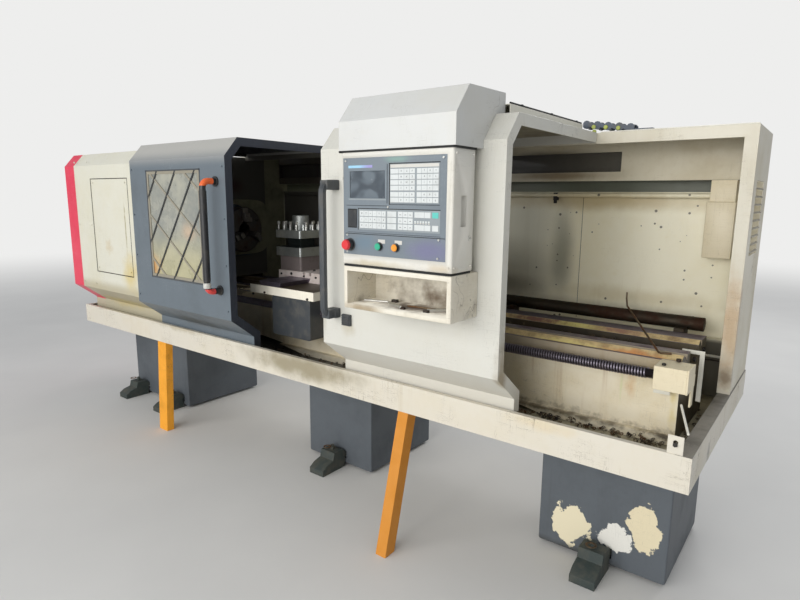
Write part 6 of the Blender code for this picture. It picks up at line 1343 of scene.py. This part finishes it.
# %% Scatter the swarf
def curl(name, turns, radius, lead, width):
    """Wind one thin strip into a curled chip."""
    form = bmesh.new()
    ends = [form.verts.new((radius, 0.0, along)) for along in (0.0, width)]
    form.edges.new(ends)
    steps = int(turns * 9)
    bmesh.ops.spin(form, geom=form.verts[:] + form.edges[:], cent=(0, 0, 0), axis=(0, 0, 1),
                   dvec=(0, 0, lead / 9),
                   angle=tau * turns, steps=steps, use_merge=False, use_normal_flip=False, use_duplicate=False)
    bmesh.ops.solidify(form, geom=form.faces[:], thickness=0.0005)
    return to_mesh(form, name)


def scattered(count, seed):
    """Give a repeatable row of numbers between 0 and 1."""
    for step in range(count):
        value = sin((step + 1) * 12.9898 + seed * 78.233) * 43758.5453
        yield value - int(value) if value > 0 else value - int(value) + 1.0


curls = [curl("curl_short", 1.2, 0.005, 0.004, 0.0022), curl("curl_long", 2.6, 0.0036, 0.0045, 0.002)]
DRIFTS = [((0.8, 1.74), (-0.15, -0.112), 0.57, 170), ((-0.9, 0.45), (-0.24, -0.115), 0.57, 130),
          ((1.765, 1.82), (-0.3, 0.3), 0.57, 40), ((0.85, 1.7), (0.075, 0.195), 0.835, 50)]
drift = bmesh.new()
for number, (along, across, height, count) in enumerate(DRIFTS):
    values = list(scattered(count * 6, 7 + number))
    for item in range(count):
        a, b, c, d, e, f = values[item * 6:item * 6 + 6]
        place = (along[0] + (along[1] - along[0]) * a, across[0] + (across[1] - across[0]) * b,
                 height + 0.012 * c * c)
        turn = Matrix.Rotation(tau * d, 4, "Z") @ Matrix.Rotation(0.8 + e, 4, "X") @ Matrix.Scale(0.7 + f, 4)
        stamp(drift, curls[item % 2], Matrix.Translation(place) @ turn, item % 3)
settle(drift, "swarf", "base", "swarf_dark hook_steel bolt_steel", flip=False)

# %% [markdown]
# ## Pedestals and mounts
# Each pedestal's front carries two bolts with washers, and each levelling mount has a washer on its screw. They
# could be left out at this size, but the row of dark dots is what tells that the pedestals are bolted on.

# %% Bolts on the pedestals
bolts = bmesh.new()
for left, right, front in ((-1.84, -1.19, -0.12), (-0.081, 0.368, -0.075), (1.28, 1.776, -0.075)):
    for x in (left + 0.045, right - 0.045):
        add_ring(bolts, (x, front - 0.0002, 0.52), TO_FRONT, 0.008, 0.0165, 0.0016, 1)
        add_head(bolts, hex_head, (x, front - 0.0016, 0.52), TO_FRONT, 0.011, 0)
for x, y in ((-1.735, -0.208), (-1.295, -0.208), (0.1435, -0.163), (1.528, -0.163), (-1.735, 0.538),
             (0.1435, 0.538), (1.528, 0.538)):
    add_ring(bolts, (x, y, 0.1252), UP, 0.0115, 0.021, 0.002, 1)
settle(bolts, "pedestal_bolts", "base", "bolt_steel hook_steel", width=0.0004, segments=1)

# %% [markdown]
# ## The back
# The electrical cabinet's door has a gasket, a lock handle, two fan grilles and a warning sign, which is a plain
# triangle with a flash. Three pins stand on the cabinet beside it, and four glands lead the cables out of its side.
# The door turns about its other side edge. So the pins are at its free edge and the handle is beside the hinge,
# which is the wrong way round and still to be mended.

# %% Fit the cabinet
DOOR_Y = 0.718
PIN_LINE = (-1.033, 0.708)
cabinet = bmesh.new()
for low in (0.78, 1.16, 1.53):
    add_rod(cabinet, (*PIN_LINE, low), (*PIN_LINE, low + 0.08), 0.007, 14, 1)
    add_rod(cabinet, (*PIN_LINE, low + 0.0385), (*PIN_LINE, low + 0.0415), 0.0078, 14, 0)
settle(cabinet, "cabinet_hinge_pins", "base", "black_plastic bright_steel", width=0.0005)
leaf = bmesh.new()
add_box(leaf, (-1.77, DOOR_Y - 0.0002, 1.15), (-1.745, DOOR_Y + 0.008, 1.27), 0)
add_box(leaf, (-1.766, DOOR_Y + 0.0075, 1.2), (-1.749, DOOR_Y + 0.019, 1.264), 0)
add_ring(leaf, (-1.7575, DOOR_Y + 0.0078, 1.172), TO_BACK, 0.003, 0.008, 0.003, 1)
for low in (0.8, 1.42):
    add_box(leaf, (-1.5, DOOR_Y - 0.0002, low), (-1.34, DOOR_Y + 0.004, low + 0.16), 0)
    for step in range(11):
        start = low + 0.012 + step * 0.0128
        add_box(leaf, (-1.49, DOOR_Y + 0.0038, start), (-1.35, DOOR_Y + 0.008, start + 0.006), 0)
    for x in (-1.493, -1.347):
        for z in (low + 0.007, low + 0.153):
            add_head(leaf, round_head, (x, DOOR_Y + 0.004, z), TO_BACK, 0.0038, 1)
TRIANGLE = [(-0.06, -0.026), (0.06, -0.026), (0.0, 0.078)]
FLASH = [(0.006, 0.046), (-0.012, 0.014), (-0.002, 0.016), (-0.008, -0.014), (0.012, 0.02), (0.002, 0.019)]
for outline, index, start, thickness in ((TRIANGLE, 2, 0.0002, 0.0006), (FLASH, 3, 0.0009, 0.0005)):
    corners = [leaf.verts.new((-1.42 + x, DOOR_Y + start, 1.226 + z)) for x, z in outline]
    leaf.faces.new(corners).material_index = index
    flat = [face for face in leaf.faces if face.material_index == index]
    raised = bmesh.ops.extrude_face_region(leaf, geom=flat)["geom"]
    bmesh.ops.translate(leaf, vec=(0, thickness, 0), verts=[item for item in raised
                                                            if isinstance(item, bmesh.types.BMVert)])
for low, high in (((-1.798, 0.6979, 0.698), (-1.042, 0.6984, 0.704)),
                  ((-1.798, 0.6979, 1.662), (-1.042, 0.6984, 1.668))):
    add_box(leaf, low, high, 3)
settle(leaf, "cabinet_door_fittings", "cabinet_door_body",
       "charcoal_plastic bright_steel sign_yellow seam_rubber",
       width=0.0004, segments=1)
BACK_SCREWS = [(x, 0.6202, z) for x in (-0.85, -0.35, 0.15, 0.65, 1.15, 1.65) for z in (0.7, 1.05, 1.38)]
screws("back_wall_screws", "base", BACK_SCREWS, TO_BACK, 0.0055, round_head, "cream_paint")
glands = bmesh.new()
x = -1.0395
for step in range(4):
    y = 0.47 + step * 0.05
    add_rod(glands, (x, y, 0.76), (x + 0.022, y, 0.76), 0.013, 12, 0)
    add_rod(glands, (x + 0.02, y, 0.76), (x + 0.038, y, 0.76), 0.0095, 12, 1)
settle(glands, "cable_glands", "base", "black_plastic charcoal_plastic", width=0.0008)

# %% [markdown]
# ## Tailstock
# The tailstock is clamped with a lever, and its foot has four bolts. It sits behind the doors, but it shows when a
# door is pushed aside.

# %% Fit the tailstock
stock = bmesh.new()
add_rod(stock, (0.62, 0.133, 1.272), (0.62, 0.133, 1.3), 0.011, 14, 0)
add_rod(stock, (0.62, 0.133, 1.296), (0.56, 0.06, 1.33), 0.006, 12, 0)
for x in (0.45, 0.77):
    for y in (0.04, 0.225):
        add_head(stock, hex_head, (x, y, 0.94), UP, 0.01, 0)
settle(stock, "tailstock_lever", "tailstock", "bolt_steel", width=0.0006)
print("tailstock fitted")

# %% [markdown]
# ## Floor, light and backdrop
# The machine stands on a plain pale floor that runs out into a white backdrop, as in a product studio. Three large
# soft lamps and a bright sky give shadows without hard edges, about as the hall's high windows do.

# %% Stage
BACKDROP = rgb(238, 238, 237)


def studio_floor():
    """Make a round floor that fades into the backdrop's white far out, for camera and mirrors only."""
    form = bmesh.new()
    bmesh.ops.create_circle(form, cap_ends=True, segments=96, radius=40.0)
    mesh = to_mesh(form, "studio_floor")
    floor = link("studio_floor", mesh)
    material = bpy.data.materials.new("studio_floor")
    material.use_nodes = True
    tree = material.node_tree
    shader = tree.nodes["Principled BSDF"]
    place = put(tree, "TexCoord").outputs["Object"]
    cloud = noise(tree, place, 1.4, 6.0)
    tree.links.new(mixed(tree, cloud, (206, 205, 203), (222, 221, 218)), shader.inputs["Base Color"])
    shader.inputs["Roughness"].default_value = 0.75
    far = ramped(tree, vector_maths(tree, "LENGTH", place), 4.0, 14.0)
    path = put(tree, "LightPath").outputs
    seen = maths(tree, "MAXIMUM", path["Is Camera Ray"], path["Is Glossy Ray"])
    white = put(tree, "Emission", {"Color": BACKDROP, "Strength": 1.0}).outputs[0]
    blend = put(tree, "MixShader", {0: times(tree, far, seen), 1: shader.outputs[0], 2: white})
    tree.links.new(blend.outputs[0], tree.nodes["Material Output"].inputs["Surface"])
    mesh.materials.append(material)


def soft_lamp(name, place, aim, size, power, colour):
    """Hang a large soft lamp and turn it to a point."""
    lamp = bpy.data.lights.new(name, "AREA")
    lamp.shape = "RECTANGLE"
    lamp.size, lamp.size_y = size
    lamp.energy = power
    lamp.color = colour
    holder = link(name, lamp)
    aimed = (Vector(aim) - Vector(place)).to_track_quat("-Z", "Y").to_matrix().to_4x4()
    holder.matrix_world = Matrix.Translation(place) @ aimed


studio_floor()
soft_lamp("window_light", (-1.2, -6.4, 3.2), (0.0, 0.0, 0.8), (5.0, 2.6), 188.0, (1.0, 0.99, 0.97))
soft_lamp("front_fill", (1.8, -5.6, 1.7), (0.9, 0.0, 1.0), (3.0, 2.0), 118.0, (1.0, 0.99, 0.97))
soft_lamp("back_rim", (1.5, 5.5, 4.6), (0.0, 0.3, 1.0), (4.0, 2.0), 150.0, (1.0, 1.0, 1.0))
world = bpy.data.worlds.new("studio_sky")
bpy.context.scene.world = world
world.use_nodes = True
sky = world.node_tree
path = put(sky, "LightPath").outputs
seen = maths(sky, "MAXIMUM", path["Is Camera Ray"], path["Is Transmission Ray"])
plain = sky.nodes["Background"]
plain.inputs["Color"].default_value = (0.93, 0.96, 1.0, 1.0)
plain.inputs["Strength"].default_value = 0.5
backdrop = put(sky, "Background", {"Color": BACKDROP, "Strength": 1.0}).outputs[0]
both = put(sky, "MixShader", {0: seen, 1: plain.outputs[0], 2: backdrop})
sky.links.new(both.outputs[0], sky.nodes["World Output"].inputs["Surface"])
